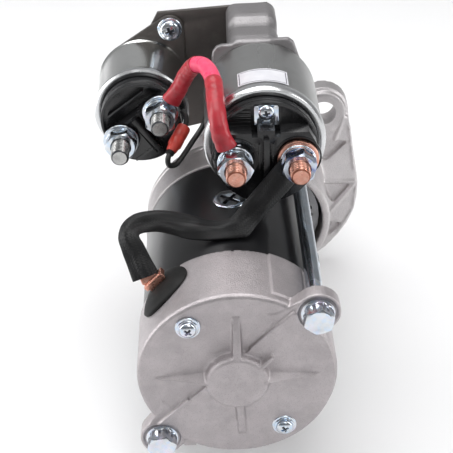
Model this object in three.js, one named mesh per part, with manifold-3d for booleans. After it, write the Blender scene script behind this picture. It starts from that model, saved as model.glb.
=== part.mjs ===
// Gear-reduction starter motor with a lever-type solenoid and an auxiliary relay.
// Millimetres, +Z up (solenoid side), +Y towards the pinion, +X to the right seen from the rear.
import * as THREE from 'three';
import { mergeVertices } from 'three/addons/utils/BufferGeometryUtils.js';
import Module from 'manifold-3d';

const wasm = await Module();
wasm.setup();

// ---- driving dimensions -------------------------------------------------
const FACE_Y = 196;            // mating face of the mounting flange, from the rear cover face
const OX = 18.5, OZ = -6.2;    // output (pinion) axis from the motor axis
const SX = 18.5, SZ = 79.3;    // solenoid axis
const RX = -46, RZ = 66.2;     // relay axis
const COVER_R = 48, COVER_L = 36.6, BOSS_R = 15, BOSS_H = 6.2;
const YOKE_R = 46.4, YOKE_IN = 41.4, YOKE_Y0 = 36.8, YOKE_Y1 = 120.2;
const BAND_R = 46.9, BAND_Y0 = 120.4, BAND_Y1 = 139.8;
const BOLT = [[38, 37.1], [-38, -37.1]];      // through bolts
const BOLT_R = 3.9;
const BRUSH_SCREW = [[-22.3, 30.9], [22.3, -30.9]];
const POLE_Y0 = 60, POLE_Y1 = 110;
const GEAR_M = 1.5, Z_ARM = 12, Z_RING = 38;  // internal reduction, centre distance 19.5
const PINION_M = 3, Z_PINION = 11;
const CAN_R = 29.9, CAN_Y0 = 87, CAN_Y1 = 139.8, CAP_Y = 69.5;
const STUD_DX = 15.4, STUD_Z = 79;            // main terminals either side of the solenoid axis
const PLUNGER_R = 12, STROKE = 11;
const RELAY_R = 26, RELAY_Y0 = 148, RELAY_Y1 = 186.2, RELAY_CAP_Y = 131;
const RSTUD = [[-34.9, 74.3], [-57.1, 57.9]]; // relay terminals
const EAR = [57.8, 41.5], EAR2 = [-20.8, -53.9], EAR_R = 15, EAR_HOLE = 7.5;
const FLANGE_T = 10, PILOT_R = 46, NOSE_R = 34, NOSE_Y = 262;
const PIVOT = [172, 44];                      // lever pivot, Y and Z
const NUT_AF = 15.5, M10_R = 4.9;

// ---- helpers --------------------------------------------------------------
const facets = (n) => Math.max(8, 2 * Math.round(n * 0.29));   // sides on a turned face
const group = new THREE.Group();
group.name = 'starter_motor';
group.position.set(0, 0, 0);
const frame = new THREE.Group();
frame.name = 'motor_axis';
frame.position.set(-OX, -FACE_Y, -OZ);
group.add(frame);

const mat = {
  cast: { color: 0xaaa4a4, roughness: 0.55, metalness: 0.8 },
  black: { color: 0x101012, roughness: 0.3, metalness: 0.1 },
  steel: { color: 0x8d8f92, roughness: 0.35, metalness: 0.9 },
  zinc: { color: 0xc9ced4, roughness: 0.25, metalness: 1.0 },
  copper: { color: 0xd0805f, roughness: 0.3, metalness: 1.0 },
  plastic: { color: 0x0d0d0f, roughness: 0.35, metalness: 0.0 },
  rubber: { color: 0x3a3a3a, roughness: 0.8, metalness: 0.0 },
  can: { color: 0x85878a, roughness: 0.35, metalness: 0.9 },
  bright: { color: 0xb9bcbf, roughness: 0.2, metalness: 1.0 },
  plate: { color: 0x55524f, roughness: 0.5, metalness: 0.6 },
  red: { color: 0xb83036, roughness: 0.45, metalness: 0.0 },
  pink: { color: 0xe0506e, roughness: 0.4, metalness: 0.0 },
  braid: { color: 0x161616, roughness: 0.6, metalness: 0.0 },
  label: { color: 0xf0f0f0, roughness: 0.5, metalness: 0.0 },
  carbon: { color: 0x2b2b2b, roughness: 0.7, metalness: 0.2 },
  bronze: { color: 0xa07a45, roughness: 0.4, metalness: 0.9 },
};
function add(name, geometry, m, x = 0, y = 0, z = 0) {
  const mesh = new THREE.Mesh(geometry, new THREE.MeshStandardMaterial(mat[m]));
  mesh.name = name;
  mesh.position.set(x, y, z);
  frame.add(mesh);
  return mesh;
}
function solid(g) {
  let h = g.clone();
  h.deleteAttribute('normal');
  if (h.attributes.uv) h.deleteAttribute('uv');
  h = mergeVertices(h, 1e-4);
  const tri = [];
  for (let i = 0; i < h.index.count; i += 3) {
    const [a, b, c] = [h.index.getX(i), h.index.getX(i + 1), h.index.getX(i + 2)];
    if (a !== b && b !== c && c !== a) tri.push(a, b, c);
  }
  return new wasm.Manifold(new wasm.Mesh({
    numProp: 3,
    vertProperties: new Float32Array(h.attributes.position.array),
    triVerts: new Uint32Array(tri),
  }));
}
function toGeometry(m) {
  const mesh = m.getMesh();
  const g = new THREE.BufferGeometry();
  const v = new Float32Array(mesh.numVert * 3);
  for (let i = 0; i < mesh.numVert; i++) for (let k = 0; k < 3; k++) v[i * 3 + k] = mesh.vertProperties[i * mesh.numProp + k];
  g.setAttribute('position', new THREE.BufferAttribute(v, 3));
  g.setIndex(new THREE.BufferAttribute(new Uint32Array(mesh.triVerts), 1));
  g.computeVertexNormals();
  return g;
}
function join(list) { let a = solid(list[0]); for (const g of list.slice(1)) a = a.add(solid(g)); return a; }
function shapeOf(add_, cut = [], keep = []) {
  let a = join(add_);
  for (const g of cut) a = a.subtract(solid(g));
  for (const g of keep) a = a.intersect(solid(g));
  return toGeometry(a);
}
// cylinder along Y
function cyl(r, y0, y1, x = 0, z = 0, seg = 32, r2 = null) {
  const g = new THREE.CylinderGeometry(r2 === null ? r : r2, r, y1 - y0, facets(seg));
  g.translate(x, (y0 + y1) / 2, z);
  return g;
}
// cylinder along X
function cylX(r, x0, x1, y, z, seg = 20) {
  const g = new THREE.CylinderGeometry(r, r, x1 - x0, facets(seg));
  g.rotateZ(Math.PI / 2);
  g.translate((x0 + x1) / 2, y, z);
  return g;
}
// turned profile [radius, y] around the Y axis
function lathe(pts, seg = 40) {
  const p = pts.map(([r, y]) => new THREE.Vector2(r, y));
  if (pts[0][0] > 0) p.push(p[0].clone());
  return new THREE.LatheGeometry(p, facets(seg));
}
function box(x0, x1, y0, y1, z0, z1) {
  const g = new THREE.BoxGeometry(x1 - x0, y1 - y0, z1 - z0);
  g.translate((x0 + x1) / 2, (y0 + y1) / 2, (z0 + z1) / 2);
  return g;
}
// outline [x, z] extruded along Y
function slab(pts, y0, y1, holes = []) {
  const s = new THREE.Shape(pts.map(([x, z]) => new THREE.Vector2(x, z)));
  for (const h of holes) s.holes.push(new THREE.Path(h.map(([x, z]) => new THREE.Vector2(x, z))));
  const g = new THREE.ExtrudeGeometry(s, { depth: y1 - y0, bevelEnabled: false });
  g.rotateX(Math.PI / 2);
  g.translate(0, y1, 0);
  return g;
}
function ring(cx, cz, r, n = 32, a0 = 0, a1 = Math.PI * 2) {
  const out = [];
  const full = Math.abs(a1 - a0 - Math.PI * 2) < 1e-9;
  for (let i = 0; i < (full ? n : n + 1); i++) {
    const a = a0 + (a1 - a0) * i / n;
    out.push([cx + r * Math.cos(a), cz + r * Math.sin(a)]);
  }
  return out;
}
// gear outline: trapezoid teeth, n teeth between root and tip radius
function gear(n, root, tip, phase = 0, fill = 0.5) {
  const out = [];
  const p = Math.PI * 2 / n;
  const wr = p * Math.min(fill * 0.62, 0.46), wt = p * Math.min(fill * 0.3, 0.41);
  for (let i = 0; i < n; i++) {
    const a = phase + i * p;
    for (const [r, d] of [[root, -wr], [tip, -wt], [tip, wt], [root, wr]]) out.push([r * Math.cos(a + d), r * Math.sin(a + d)]);
  }
  return out;
}
function rounded(x0, x1, z0, z1, r, n = 4) {
  const c = [[x1 - r, z1 - r, 0], [x0 + r, z1 - r, 1], [x0 + r, z0 + r, 2], [x1 - r, z0 + r, 3]];
  const out = [];
  for (const [x, z, q] of c) for (let i = 0; i <= n; i++) {
    const a = (q + i / n) * Math.PI / 2;
    out.push([x + r * Math.cos(a), z + r * Math.sin(a)]);
  }
  return out;
}
// sector between radii ra..rb, half angle h about angle c
function sector(ra, rb, c, h, n = 8) {
  return [...ring(0, 0, rb, n, c - h, c + h), ...ring(0, 0, ra, n, c + h, c - h)];
}
function tube(points, r, sides = 10, steps = 40) {
  const curve = new THREE.CatmullRomCurve3(points.map(([x, y, z]) => new THREE.Vector3(x, y, z)), false, 'centripetal');
  const s = new THREE.Shape(ring(0, 0, r, sides).map(([x, z]) => new THREE.Vector2(x, z)));
  return new THREE.ExtrudeGeometry(s, { steps, bevelEnabled: false, extrudePath: curve });
}
function hexNut(af, y0, y1, bore, x, z, turn = 0) {
  const hex = ring(0, 0, af / Math.sqrt(3), 6, turn, turn + Math.PI * 2).map(([a, b]) => [x + a, z + b]);
  return shapeOf([slab(hex, y0, y1)], [cyl(bore, y0 - 1, y1 + 1, x, z, 24)]);
}
function washer(ro, ri, y0, y1, x, z, seg = 24) {
  return shapeOf([cyl(ro, y0, y1, x, z, seg)], [cyl(ri, y0 - 1, y1 + 1, x, z, seg)]);
}
// Phillips pan-head screw along Y, head towards -Y, seat at y
function panScrew(y, headR, headH, shankR, len, x, z) {
  const body = lathe([[0, y - headH], [headR * 0.72, y - headH], [headR, y - headH * 0.4], [headR, y], [shankR, y], [shankR, y + len], [0, y + len]], 24);
  body.translate(x, 0, z);
  const w = headR * 0.17, l = headR * 0.62;
  return shapeOf([body], [box(x - l, x + l, y - headH - 1, y - headH * 0.35, z - w, z + w), box(x - w, x + w, y - headH - 1, y - headH * 0.35, z - l, z + l)]);
}

// ---- rear cover and its fasteners ------------------------------------------
{
  const shell = lathe([[0, 0], [COVER_R - 1.5, 0], [COVER_R, 1.5], [COVER_R, COVER_L], [COVER_R - 4, COVER_L], [COVER_R - 4, 4], [BOSS_R, 4], [BOSS_R, 8], [0, 8]], 64);
  const boss = lathe([[0, -BOSS_H], [BOSS_R - 1.5, -BOSS_H], [BOSS_R, -BOSS_H + 1.5], [BOSS_R, 1], [0, 1]], 40);
  const ears = BOLT.map(([x, z]) => {
    const a = Math.atan2(z, x);
    const u = [Math.cos(a), Math.sin(a)], t = [-u[1], u[0]];
    const arc = ring(x, z, 10.5, 12, a - Math.PI / 2, a + Math.PI / 2);
    const back = 42;
    return slab([...arc, [u[0] * back + t[0] * 12, u[1] * back + t[1] * 12], [u[0] * back - t[0] * 12, u[1] * back - t[1] * 12]], 0.1, 6);
  });
  const spikes = [
    slab([[-14, 1.6], [-41, 1.2], [-41, -0.2], [-14, -2.2]], -1.6, 1),
    slab([[14, 2.2], [39, 0.9], [39, -0.5], [14, -1.6]], -1.6, 1),
    slab([[-2.3, 14], [2.3, 14], [2.3, 33.5], [-2.3, 33.5]], -1.6, 1),
    slab([[-2.3, -14], [-2.3, -30], [2.3, -30], [2.3, -14]], -1.2, 1),
  ];
  const pocket = cyl(11.4, -3, 9, 0, 0, 32);
  const slot = slab(sector(42, 52, 2.36, 0.23, 6), 18, 40);
  const cuts = [pocket, slot, ...BOLT.map(([x, z]) => cyl(BOLT_R + 0.3, -1, 8, x, z, 20)), ...BRUSH_SCREW.map(([x, z]) => cyl(2.6, -1, 6, x, z, 16))];
  add('rear_cover', shapeOf([shell, boss, ...ears, ...spikes], cuts), 'cast');
  add('rear_bearing', washer(11, 5, -2.6, 6.4, 0, 0, 28), 'steel');
  BRUSH_SCREW.forEach(([x, z], i) => add('brush_screw_' + (i + 1), shapeOf([panScrew(-1.0, 4.2, 2.6, 2.2, 10, x, z), cyl(6.2, -1.1, -0.1, x, z, 24)]), 'zinc'));
}
BOLT.forEach(([x, z], i) => {
  const hex = ring(0, 0, 13 / Math.sqrt(3), 6, 0.3, 0.3 + Math.PI * 2);
  const g = shapeOf([slab(hex, -8.4, -1.2), lathe([[0, -1.6], [8.4, -1.6], [9.2, -0.9], [9.2, 0], [BOLT_R, 0], [BOLT_R, 158], [0, 158]], 24)]);
  add('through_bolt_' + (i + 1), g, 'zinc', x, 0, z);
});
// rubber grommet in the cover's notch, and the brush lead tab through it
{
  const body = (() => {
    const notch = box(-5.3, 5.3, 26.4, 29.6, 40, 56);
    notch.rotateY(-(2.36 - Math.PI / 2));
    return shapeOf([slab(sector(43.6, 48.6, 2.36, 0.222, 6), 18.3, 36.2), slab(sector(48.2, 50.6, 2.36, 0.27, 6), 15, 39.5)], [notch]);
  })();
  add('lead_grommet', body, 'rubber');
  const tab = slab([[-4.9, 44.6], [4.9, 44.6], [4.9, 55], [-4.9, 55]], 26.8, 29.2);
  tab.rotateY(-(2.36 - Math.PI / 2));
  add('motor_lead_tab', tab, 'copper');
}

// ---- yoke, poles, field coils ------------------------------------------------
{
  const q = [Math.PI / 2, 0, -Math.PI / 2, Math.PI];
  const coils = [], windows = [];
  const yoke = lathe([[YOKE_IN, YOKE_Y0], [YOKE_R, YOKE_Y0], [YOKE_R, YOKE_Y1], [YOKE_IN, YOKE_Y1]], 64);
  const hole = (a, r0, r1, rr, seg = 24) => {
    const g = new THREE.CylinderGeometry(rr[1], rr[0], r1 - r0, seg < 8 ? seg : facets(seg));
    g.translate(0, (r0 + r1) / 2, 0);
    g.rotateX(Math.PI / 2);           // along +Z
    g.translate(0, 85, 0);
    g.rotateY(Math.PI / 2 - a);
    return g;
  };
  add('yoke', shapeOf([yoke], q.map((a) => hole(a, 40, 47.5, [6.2, 9.3]))), 'black');
  q.forEach((a, i) => {
    const screw = shapeOf([hole(a, 40.5, 46.7, [5.8, 8.4])], [hole(a, 45.6, 48, [0.9, 0.9], 4)]);
    const body = shapeOf([slab(sector(31, 41.1, a, 0.26, 5), POLE_Y0, POLE_Y1), slab(sector(29.5, 32, a, 0.56, 8), POLE_Y0, POLE_Y1), screw]);
    add('pole_shoe_' + (i + 1), body, 'steel');
    coils.push(slab(sector(32.5, 40.9, a, 0.66, 8), 53, 117));
    windows.push(slab(sector(30, 43, a, 0.31, 4), 57, 113));
  });
  add('field_winding', shapeOf([...coils, slab(ring(0, 0, 40.5, 32), 53, 55, [ring(0, 0, 37, 32).reverse()])], windows), 'copper');
}

// ---- armature -----------------------------------------------------------------
{
  const pitch = GEAR_M * Z_ARM / 2;
  const shaft = lathe([[0, -2.4], [4.7, -2.4], [4.7, 8.5], [7.5, 8.5], [7.5, 143], [7.0, 143], [7.0, 145.5], [0, 145.5]], 28);
  const teeth = slab(gear(Z_ARM, pitch - 1.25 * GEAR_M, pitch + 0.85 * GEAR_M, Math.atan2(OZ, OX)), 145, 163);
  add('armature_shaft', shapeOf([shaft, teeth]), 'steel');
  add('armature_core', shapeOf([slab(gear(16, 25.5, 28.5, 0, 1.25), POLE_Y0, POLE_Y1)], [cyl(10.3, 50, 120, 0, 0, 28)]), 'steel');
  add('armature_winding', lathe([[7.7, 38.5], [17, 38.5], [25, 50], [25, 59.7], [10, 59.7], [10, 110.3], [25, 110.3], [24, 118], [7.7, 119.5]], 32), 'copper');
  add('commutator', shapeOf([slab(gear(21, 16.9, 17.5, 0, 1.45), 15, 38)], [cyl(7.7, 10, 40, 0, 0, 24)]), 'copper');
}

// ---- brush gear ------------------------------------------------------------------
{
  const holder = slab(ring(0, 0, 43.2, 28), 30.5, 32.5, [ring(0, 0, 19, 20).reverse()]);
  const boxes = [], holes = [];
  for (let i = 0; i < 4; i++) {
    const a = i * Math.PI / 2 + Math.PI / 4;
    const b = box(18.6, 35, 17, 31, -5.6, 5.6), h = box(15, 40, 19, 29.6, -4, 4);
    b.rotateY(-a); h.rotateY(-a);
    boxes.push(b); holes.push(h);
    const br = box(17.9, 33, 19.4, 29.2, -3.7, 3.7);
    br.rotateY(-a);
    add('brush_' + (i + 1), br, 'carbon');
  }
  const bosses = BRUSH_SCREW.map(([x, z]) => cyl(4.6, 4.2, 31, x, z, 16));
  const taps = BRUSH_SCREW.map(([x, z]) => cyl(2.5, 3, 12, x, z, 12));
  add('brush_holder', shapeOf([holder, ...boxes, ...bosses], [...holes, ...taps]), 'steel');
}

// ---- centre bracket with the armature front bearing --------------------------------
{
  const band = lathe([[0, 132], [42, 132], [42, BAND_Y0], [BAND_R, BAND_Y0], [BAND_R, BAND_Y1], [0, BAND_Y1]], 64);
  const lugs = BOLT.map(([x, z]) => cyl(8.5, 127, BAND_Y1, x, z, 20));
  const g = shapeOf([band, ...lugs], [cyl(13.5, 130, 137, 0, 0, 28), cyl(10.8, 130, 141, 0, 0, 28), ...BOLT.map(([x, z]) => cyl(BOLT_R + 0.3, 120, 145, x, z, 20))]);
  add('centre_bracket', g, 'cast');
  add('armature_front_bearing', washer(13, 7.8, 128, 136.8, 0, 0, 28), 'steel');
}

// ---- reduction gear and output shaft --------------------------------------------------
{
  const pr = GEAR_M * Z_RING / 2;
  const inner = gear(Z_RING, pr + 1.25 * GEAR_M, pr - 0.85 * GEAR_M, Math.atan2(-OZ, -OX) + Math.PI + Math.PI / Z_RING, 0.5);
  const cup = shapeOf([cyl(34, 147, 166.6, 0, 0, 56)], [slab(inner, 146, 163.4), cyl(8.2, 160, 170, 0, 0, 24)]);
  add('internal_ring_gear', cup, 'steel', OX, 0, OZ);
  const shaft = shapeOf([lathe([[0, 163.6], [8, 163.6], [8, 214], [6.5, 214], [6.5, 246.5], [9.5, 246.5], [9.5, 250], [6.5, 250], [6.5, 260.5], [0, 260.5]], 28), slab(gear(10, 8.25, 9.0, 0, 1.0), 177, 206)]);
  add('output_shaft', shaft, 'steel', OX, 0, OZ);
  add('output_rear_bearing', washer(14.8, 8.4, 168.8, 175.4, 0, 0, 28), 'steel', OX, 0, OZ);
}

// ---- drive: clutch, pinion ----------------------------------------------------------------
{
  const clutch = lathe([[9.4, 178], [17, 178], [17, 180], [13, 180], [13, 187], [21, 187], [21, 206.5], [19.5, 208], [12.4, 208], [12.4, 204], [9.4, 204]], 36);
  add('overrunning_clutch', clutch, 'steel', OX, 0, OZ);
  const pr = PINION_M * Z_PINION / 2;
  const g = shapeOf([slab(gear(Z_PINION, pr - 1.2 * PINION_M, pr + PINION_M, 0, 0.62), 210, 228), cyl(12.0, 204.4, 211, 0, 0, 28)], [cyl(9.5, 200, 214.6, 0, 0, 24), cyl(8.3, 210, 230, 0, 0, 24)]);
  add('pinion', g, 'steel', OX, 0, OZ);
}

// ---- shift lever and pivot pin -----------------------------------------------------------------
{
  const [py, pz] = PIVOT;
  const prof = (pts, x0, x1) => {
    const s = new THREE.Shape(pts.map(([y, z]) => new THREE.Vector2(y, z)));
    const g = new THREE.ExtrudeGeometry(s, { depth: x1 - x0, bevelEnabled: false });
    // shape x -> Y, shape y -> Z, depth -> X
    g.applyMatrix4(new THREE.Matrix4().set(0, 0, 1, x0, 1, 0, 0, 0, 0, 1, 0, 0, 0, 0, 0, 1));
    return g;
  };
  const upper = prof([[py - 5, pz], [py + 5, pz], [179.2, SZ], [175, SZ]], OX - 4, OX + 4);
  const hub = cylX(6.5, OX - 6, OX + 6, py, pz, 20);
  const yokeTop = prof([[py - 4.5, pz + 1], [py + 4.5, pz + 1], [180, 20], [173, 20]], OX - 6, OX + 6);
  const bridge = prof([[173.2, 20.5], [180, 20.5], [181.5, 13], [174.5, 13]], OX - 23.5, OX + 23.5);
  const arm = (s) => prof([[174.5, 20], [181, 20], [185, OZ], [180.2, OZ]], s > 0 ? OX + 19.4 : OX - 23.5, s > 0 ? OX + 23.5 : OX - 19.4);
  const pads = [cylX(2.6, OX + 13.8, OX + 21, 183.5, OZ, 16), cylX(2.6, OX - 21, OX - 13.8, 183.5, OZ, 16)];
  const top = cylX(3.4, OX - 4, OX + 4, 177.5, SZ, 20);
  add('shift_lever', shapeOf([upper, hub, yokeTop, bridge, arm(1), arm(-1), ...pads, top], [cylX(3.3, OX - 20, OX + 20, py, pz, 20), cyl(17.8, 170, 190, OX, OZ, 32)]), 'steel');
  add('lever_pin', cylX(3, OX - 14.5, OX + 13, py, pz, 20), 'steel');
}

// ---- drive housing ---------------------------------------------------------------------------------
const flangeOutline = (() => {
  const right = [[73.2, 38], [75.1, 25], [78.9, 1.1], [80.2, -9], [80, -18.2], [78.6, -26.6], [74.6, -36.4], [69.2, -45.3], [61.3, -54.8], [52, -62]];
  const ear1 = ring(EAR[0], EAR[1], EAR_R, 10, 0.05, 2.55);
  const ear2 = ring(EAR2[0], EAR2[1], EAR_R, 10, Math.PI * 0.98, Math.PI * 1.55);
  const left = ring(OX, OZ, 47.5, 12, 1.2, Math.PI + 0.15);
  const bottom = [[10, -66], [30, -67]];
  return [...ear1, ...left, ...ear2, ...bottom, ...right.reverse()];
})();
{
  const gearBody = cyl(40, 140, FACE_Y - 5, OX, OZ, 56);
  const rearPlate = cyl(BAND_R, 140, 144.8, 0, 0, 64);
  const lug = BOLT.map(([x, z]) => cyl(8.5, 140, 160, x, z, 20));
  const web1 = slab([[-38, -45.6], [18, -46.2], [0, 0], [-44, -31]], 144, 160);
  const solPlate = slab([...rounded(-6.5, 42.5, 40, 111, 5).slice(0, 5), [4, 111], [0, 108.6], [-4.2, 107], [-6.5, 103.5], [-6.5, 45], [-2, 40], [38, 40], [42.5, 45]], 140, 145.5);
  const leverBox = slab(rounded(2.3, 30.2, 20, 111, 5), 140, 188.2);
  const flange = slab(flangeOutline, FACE_Y - FLANGE_T, FACE_Y);
  const pilot = cyl(PILOT_R, FACE_Y - 1, FACE_Y + 5, OX, OZ, 64);
  const nose = cyl(NOSE_R, FACE_Y, NOSE_Y, OX, OZ, 48, NOSE_R - 6);
  const ribs = [];
  for (const a of [0.62, 0.12, -0.38, -0.9, -1.6, -2.2]) {
    const r = box(38, a < -1.3 ? 50 : 57, 168, 187, -2, 2);
    r.rotateY(-a); r.translate(OX, 0, OZ);
    ribs.push(r);
  }
  const solid1 = [gearBody, rearPlate, ...lug, web1, solPlate, leverBox, flange, pilot, nose, ...ribs];
  const cuts = [
    cyl(35.6, 130, 167.2, OX, OZ, 48),                       // gear chamber
    cyl(12, 130, 147, 0, 0, 28),                             // armature pinion entry
    cyl(15.4, 165, 176.6, OX, OZ, 32),                         // output bearing seat
    cyl(25.4, 176.4, 256, OX, OZ, 40),                       // drive bore
    slab(rounded(5.6, 25.9, -6, 107.6, 2), 176.4, 185.2),    // lever passage
    slab(rounded(5.6, 25.9, 32, 107.6, 2), 144.5, 185.2),
    box(OX - 24.4, OX + 24.4, 173, 200, OZ - 4, 25.5),       // fork room
    box(OX - 7.5, OX + 7.5, 168.8, 189, 20, 36),             // lever gap
    cyl(12.6, 138, 145.6, SX, SZ, 32),                         // plunger entry
    cyl(6.85, 250, 270, OX, OZ, 28),                         // nose bearing
    cylX(3.15, OX - 14.6, OX + 13.1, PIVOT[0], PIVOT[1], 20),
    cyl(EAR_HOLE, 180, 200, EAR[0], EAR[1], 32), cyl(EAR_HOLE, 180, 200, EAR2[0], EAR2[1], 32),
    ...BOLT.map(([x, z]) => cyl(BOLT_R + 0.15, 138, 158.5, x, z, 20)),
    box(OX - 30, OX + 30, 207, 255, OZ - 60, OZ - 8),        // pinion window
  ];
  const seat = washer(18.6, 15.4, 167, 176.4, OX, OZ, 32);   // bearing seat standing into the fork room
  add('drive_housing', shapeOf([shapeOf(solid1, cuts), seat]), 'cast');
}

// ---- solenoid ---------------------------------------------------------------------------------------
{
  const can = lathe([[26.9, 83.6], [29.6, 83.6], [30.8, 85], [30.8, 90.5], [CAN_R, 91.5], [CAN_R, CAN_Y1 - 3], [CAN_R - 3, CAN_Y1], [12.6, CAN_Y1], [12.6, CAN_Y1 - 4], [27.9, CAN_Y1 - 4], [27.9, 87.6], [26.9, 86.8]], 56);
  add('solenoid_can', can, 'can', SX, 0, SZ);
  const coil = lathe([[14.4, 92.5], [27.4, 92.5], [27.4, 135], [14.4, 135]], 36);
  add('solenoid_coil', coil, 'copper', SX, 0, SZ);
  const core = lathe([[3.1, 87.9], [27.4, 87.9], [27.4, 92.1], [14.0, 92.1], [14.0, 95], [12.0, 95], [12.0, 105.6], [3.1, 105.6]], 36);
  add('fixed_core', core, 'steel', SX, 0, SZ);
  // plunger with its lever eye, drawn at rest (fully forward)
  const eye = shapeOf(
    [lathe([[0, 117.5], [PLUNGER_R - 1, 117.5], [PLUNGER_R, 118.5], [PLUNGER_R, 145], [0, 145]], 32), box(-6.8, 6.8, 144, 184.3, -7, 7)],
    [box(-4.6, 4.6, 162, 182, -9, 9)]);
  add('plunger', eye, 'steel', SX, 0, SZ);
  // contact disc and its rod
  add('contact_disc', lathe([[0, 79.2], [2.5, 79.2], [2.5, 81], [12, 81], [12, 83], [2.5, 83], [2.5, 103], [0, 103]], 28), 'copper', SX, 0, SZ);
  // cap with stepped face
  const cap = shapeOf([
    cyl(26.6, 80, 87.6, 0, 0, 48),
    cyl(26.2, 78.5, 81, 0, 0, 48),
    slab([...ring(0, 0, 25.6, 24, Math.PI, Math.PI * 2), [24.6, 7], [21, 14], [-21, 14], [-24.6, 7]], CAP_Y, 81),
  ], [
    slab([...ring(0, 0, 23.4, 24, Math.PI, Math.PI * 2), [22.4, 6], [19.5, 12.4], [-19.5, 12.4], [-22.4, 6]], 74, 88.5),
    cyl(23.4, 82.6, 88.5, 0, 0, 40),
    cyl(M10_R + 0.2, 60, 80, -STUD_DX, STUD_Z - SZ, 20), cyl(M10_R + 0.2, 60, 80, STUD_DX, STUD_Z - SZ, 20),
    cyl(2.4, 75, 90, 0.5, 21.5, 14),
  ]);
  const barrier = shapeOf([cap, box(-1.5, 1.5, 63, 71, -6, 13)]);
  add('solenoid_cap', barrier, 'plastic', SX, 0, SZ);
  for (const [n, s] of [['m', -1], ['b', 1]]) {
    const x = SX + s * STUD_DX;
    add('terminal_stud_' + n, lathe([[0, 50], [M10_R - 1, 50], [M10_R, 51], [M10_R, 74.3], [7.5, 74.3], [7.5, 77.3], [0, 77.3]], 24), 'copper', x, 0, STUD_Z);
    add('terminal_nut_' + n, shapeOf([hexNut(NUT_AF, 57, 63.6, M10_R + 0.15, x, STUD_Z, s > 0 ? 0.12 : 0.02), washer(8.8, M10_R + 0.15, 63.4, 66.4, x, STUD_Z)]), 'zinc');
  }
  // switch terminal: clamp plate and screw
  const sx = SX + 0.5, szz = SZ + 21.5;
  add('switch_clamp', shapeOf([slab(rounded(sx - 6, sx + 6, szz - 7.1, szz + 3.6, 1), 76.6, 78.3)], [cyl(2.3, 70, 90, sx, szz, 14)]), 'zinc');
  add('switch_screw', panScrew(76.5, 4, 2.6, 2.1, 4.6, sx, szz), 'zinc');
}

// ---- relay bracket, relay -----------------------------------------------------------------------------
const REARS = [[-29.4, 97.3], [-62.6, 35.1]];
{
  const outline = [[-36, 106], [3, 108.2], [26, 109.2], [26, 52], [-9.5, 52], [-13, 35], [-50, 27], [-66, 27], [-71, 33], [-69, 45], [-46, 88]];
  const plate = shapeOf([slab(outline, 188.5, 190.9)], REARS.map(([x, z]) => cyl(2.6, 180, 200, x, z, 16)));
  add('relay_bracket', plate, 'plate');
  const tangent = (() => {
    const d = [REARS[0][0] - RX, REARS[0][1] - RZ], L = Math.hypot(...d), a = Math.atan2(d[1], d[0]);
    const c = Math.acos((24.5 - 7.6) / L);
    return [...ring(REARS[0][0], REARS[0][1], 7.6, 8, a - c, a + c), ...ring(RX, RZ, 24.5, 8, a + c, a + Math.PI - c), ...ring(REARS[1][0], REARS[1][1], 7.6, 8, a + Math.PI - c, a + Math.PI + c), ...ring(RX, RZ, 24.5, 8, a + Math.PI + c, a + Math.PI * 2 - c)];
  })();
  add('relay_base', shapeOf([slab(tangent, RELAY_Y1 + 0.1, 188.3)], REARS.map(([x, z]) => cyl(2.6, 180, 200, x, z, 16))), 'bright');
  const can = lathe([[22.4, 145.2], [24.8, 145.2], [RELAY_R, 146.4], [RELAY_R, 150], [RELAY_R - 0.9, 151], [RELAY_R - 0.9, RELAY_Y1 - 3], [RELAY_R - 2.5, RELAY_Y1], [0, RELAY_Y1], [0, RELAY_Y1 - 2], [22.4 + 0.7, RELAY_Y1 - 2], [23.1, 148.8], [22.4, 148.4]], 48);
  add('relay_can', can, 'bright', RX, 0, RZ);
  add('relay_armature', shapeOf([lathe([[0, 149], [7.6, 149], [7.6, 176], [0, 176]], 24), slab(rounded(-18, 18, -4.5, 4.5, 2), 148.4, 150.4)]), 'steel', RX, 0, RZ).rotation.set(0, -Math.atan2(RSTUD[0][1] - RSTUD[1][1], RSTUD[0][0] - RSTUD[1][0]), 0);
  const a = Math.atan2(RSTUD[0][1] - RSTUD[1][1], RSTUD[0][0] - RSTUD[1][0]);
  const rcap = shapeOf([
    cyl(22.1, 139, 148.8, 0, 0, 40),
    slab([...ring(0, 0, 22, 24, a - Math.PI - 0.62, a + 0.62)], RELAY_CAP_Y, 140),
  ], [
    cyl(20.6, 142, 150, 0, 0, 40),
    ...RSTUD.map(([x, z]) => cyl(M10_R + 0.2, 120, 150, x - RX, z - RZ, 20)),
  ]);
  const wall = box(-1.3, 1.3, 126, 133, -19.5, 12.5);
  wall.rotateY(-(a));
  add('relay_cap', shapeOf([rcap, wall]), 'plastic', RX, 0, RZ);
  RSTUD.forEach(([x, z], i) => {
    const ny = i ? 122.4 : 119.8;
    add('relay_stud_' + (i + 1), lathe([[0, 111], [M10_R - 1, 111], [M10_R, 112], [M10_R, 129.0], [9.9, 129.0], [9.9, 130.8], [M10_R, 130.8], [M10_R, 142.3], [6, 142.3], [6, 145], [0, 145]], 28), 'zinc', x, 0, z);
    add('relay_nut_' + (i + 1), hexNut(NUT_AF, ny, ny + 6.4, M10_R + 0.15, x, z, i ? 0.1 : 0.45), 'zinc');
  });
  REARS.forEach(([x, z], i) => add('relay_screw_' + (i + 1), panScrew(186.0, 5.8, 4.4, 2.4, 8, x, z), 'zinc'));
}

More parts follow.
